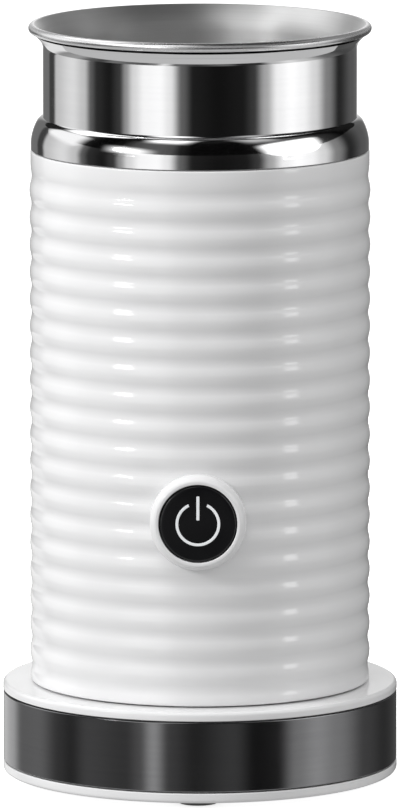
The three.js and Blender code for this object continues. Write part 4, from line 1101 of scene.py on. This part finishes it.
def softbox(
    name, azimuth, elevation, half_width, half_height, strength, feather=0.5, height=SHOULDER_HEIGHT,
):
    """A light panel with feathered edges, seen in reflections only.

    Its half sizes are in degrees, as seen from the axis at the height given, and feather is the share of
    each half that fades.
    """
    mesh = bmesh.new()
    bmesh.ops.create_grid(mesh, x_segments=1, y_segments=1, size=1)
    data = to_data(name, mesh)
    material, tree, light = glowing(name + "_light", strength)
    split = put_node(tree, "ShaderNodeSeparateXYZ")
    wire(tree, put_node(tree, "ShaderNodeTexCoord").outputs["Object"], split.inputs[0])
    shares = []
    for side in ("X", "Y"):
        fade = put_node(tree, "ShaderNodeMapRange", interpolation_type="SMOOTHSTEP")
        wire(tree, maths(tree, "ABSOLUTE", split.outputs[side]), fade.inputs["Value"])
        for label, value in (("From Min", 1 - feather), ("From Max", 1.0), ("To Min", 1.0), ("To Max", 0.0)):
            fade.inputs[label].default_value = value
        shares.append(fade.outputs[0])
    clear = put_node(tree, "ShaderNodeBsdfTransparent").outputs[0]
    feathered = mix_shaders(tree, maths(tree, "MULTIPLY", *shares), clear, light.outputs[0])
    wire(tree, feathered, surface_of(tree))
    data.materials.append(material)
    made = studio_object(name, data)
    out = direction(azimuth, elevation)
    made.location = Vector((0, 0, height)) + out * SOFTBOX_DISTANCE
    made.rotation_mode = "QUATERNION"
    made.rotation_quaternion = (-out).to_track_quat("Z", "Y")
    made.scale = (
        SOFTBOX_DISTANCE * math.tan(math.radians(half_width)),
        SOFTBOX_DISTANCE * math.tan(math.radians(half_height)), 1,
    )
    only_in_reflections(made)
    return made


def soft_lamp(name, azimuth, elevation, distance, size, power):
    """A round lamp that reflections and the camera don't see."""
    lamp = bpy.data.lights.new(name, "AREA")
    lamp.shape = "DISK"
    lamp.size = size
    lamp.energy = power
    made = bpy.data.objects.new(name, lamp)
    bpy.context.scene.collection.objects.link(made)
    out = direction(azimuth, elevation)
    made.location = Vector((0, 0, LAMPS_AIM_AT)) + out * distance
    made.rotation_mode = "QUATERNION"
    made.rotation_quaternion = (-out).to_track_quat("-Z", "Y")
    made.visible_glossy = False
    made.visible_camera = False


def lights_only(card, name):
    """Lets a card light one piece, and lets everything else see straight through it."""
    tree = card.data.materials[0].node_tree
    finish = surface_of(tree)
    through = put_node(tree, "ShaderNodeAddShader")
    wire(tree, finish.links[0].from_socket, through.inputs[0])
    wire(tree, put_node(tree, "ShaderNodeBsdfTransparent").outputs[0], through.inputs[1])
    wire(tree, through.outputs[0], finish)
    receivers = bpy.data.collections.new(card.name + "_receiver")
    receivers.objects.link(bpy.data.objects[name])
    card.light_linking.receiver_collection = receivers


def keep_off(card, name):
    """Stops a card from lighting one piece."""
    flagged = bpy.data.collections.new(card.name + "_flag")
    flagged.objects.link(bpy.data.objects[name])
    flagged.collection_objects[0].light_linking.link_state = "EXCLUDE"
    card.light_linking.receiver_collection = flagged


FLOOR_GLOW = 0.66
SIDE_LIGHT, TOP_LIGHT = 0.57, 0.88  # strength of the room's light from low down and from above


def make_floor():
    """A pale floor that is clear from below and that neither lights nor is mirrored in anything."""
    mesh = bmesh.new()
    bmesh.ops.create_circle(mesh, cap_ends=True, segments=96, radius=12.0)
    data = to_data("pale_floor", mesh)
    material, tree, shader = new_surface("pale_floor_paint", Roughness=0.9, Specular_IOR_Level=0.0)
    skin = effect(tree, "skin", 30.0)
    paint = blend_colour(tree, skin["Shade"], (0.93, 0.93, 0.93), (0.9, 0.9, 0.9))
    wire(tree, paint, shader.inputs["Base Color"])
    shader.inputs["Emission Color"].default_value = (1, 1, 1, 1)
    shader.inputs["Emission Strength"].default_value = FLOOR_GLOW
    from_below = put_node(tree, "ShaderNodeNewGeometry").outputs["Backfacing"]
    clear = put_node(tree, "ShaderNodeBsdfTransparent").outputs[0]
    wire(tree, mix_shaders(tree, from_below, shader.outputs[0], clear), surface_of(tree))
    data.materials.append(material)
    floor = studio_object("pale_floor", data)
    floor.visible_glossy = False
    floor.visible_diffuse = False


def background(tree, grey):
    node = put_node(tree, "ShaderNodeBackground")
    node.inputs["Color"].default_value = (grey, grey, grey, 1)
    return node


def light_the_room():
    """White to the camera, nearly black in reflections, and soft light that is stronger from above."""
    world = bpy.data.worlds.new("pale_room")
    bpy.context.scene.world = world
    world.use_nodes = True
    tree = world.node_tree
    tree.nodes.clear()
    ray = put_node(tree, "ShaderNodeLightPath").outputs
    seen, reflected = background(tree, 1.0), background(tree, 0.006)
    spread = put_node(tree, "ShaderNodeBackground")
    split = put_node(tree, "ShaderNodeSeparateXYZ")
    wire(tree, put_node(tree, "ShaderNodeTexCoord").outputs["Generated"], split.inputs[0])
    from_above = stretch(tree, split.outputs["Z"], -0.5, 1.0)
    wire(tree, between(tree, from_above, SIDE_LIGHT, TOP_LIGHT), spread.inputs["Strength"])
    unseen = mix_shaders(tree, ray["Is Glossy Ray"], spread.outputs[0], reflected.outputs[0])
    whole = mix_shaders(tree, ray["Is Camera Ray"], unseen, seen.outputs[0])
    wire(tree, whole, put_node(tree, "ShaderNodeOutputWorld").inputs[0])
    bpy.context.scene.view_settings.view_transform = "Standard"


make_floor()
light_the_room()
ring_of_panels("upper_panels", UPPER_PANELS, PANEL_JOIN, PANEL_TOP)
ring_of_panels("panel_haze", UPPER_PANELS, PANEL_TOP, HAZE_TOP, strength=0.09)
ring_of_panels("lower_panels", LOWER_PANELS, PANEL_FOOT, PANEL_JOIN)
glow_below()
softbox("left_panel", -114, 24, 26, 14, 1.0)
softbox("high_left_softbox", -124, 52, 24, 19, 1.7)
softbox("key_softbox", -50, 21, 22, 9, 1.3, feather=0.9)
softbox("key_tube", -52, 21, 10, 3, 16.0)
softbox("overhead_strip", -27, 56, 17, 17, 1.7, feather=0.8)
keep_off(softbox("right_softbox", 70, 23, 27, 16, 2.0), "milk_vessel")
keep_off(softbox("high_right_softbox", 54, 54, 16, 18, 0.5, feather=0.8), "milk_vessel")
soft_lamp("key_lamp", -67, 24, 1.6, 0.4, 13)
soft_lamp("top_lamp", -45, 70, 1.5, 0.8, 5)
soft_lamp("fill_lamp", 80, 38, 1.8, 0.8, 2.6)
lights_only(ring_of_panels("vessel_cards", VESSEL_CARDS, 0.2, 1.3, distance=CARD_DISTANCE), "milk_vessel")
lights_only(softbox("rib_glint_tube", -52, 0, 8, 1.2, 34.0, height=0.315), "ribbed_jug_sleeve")
lights_only(softbox("rib_sheen_panel", 64, 0, 6, 6, 3.6, height=0.22), "ribbed_jug_sleeve")
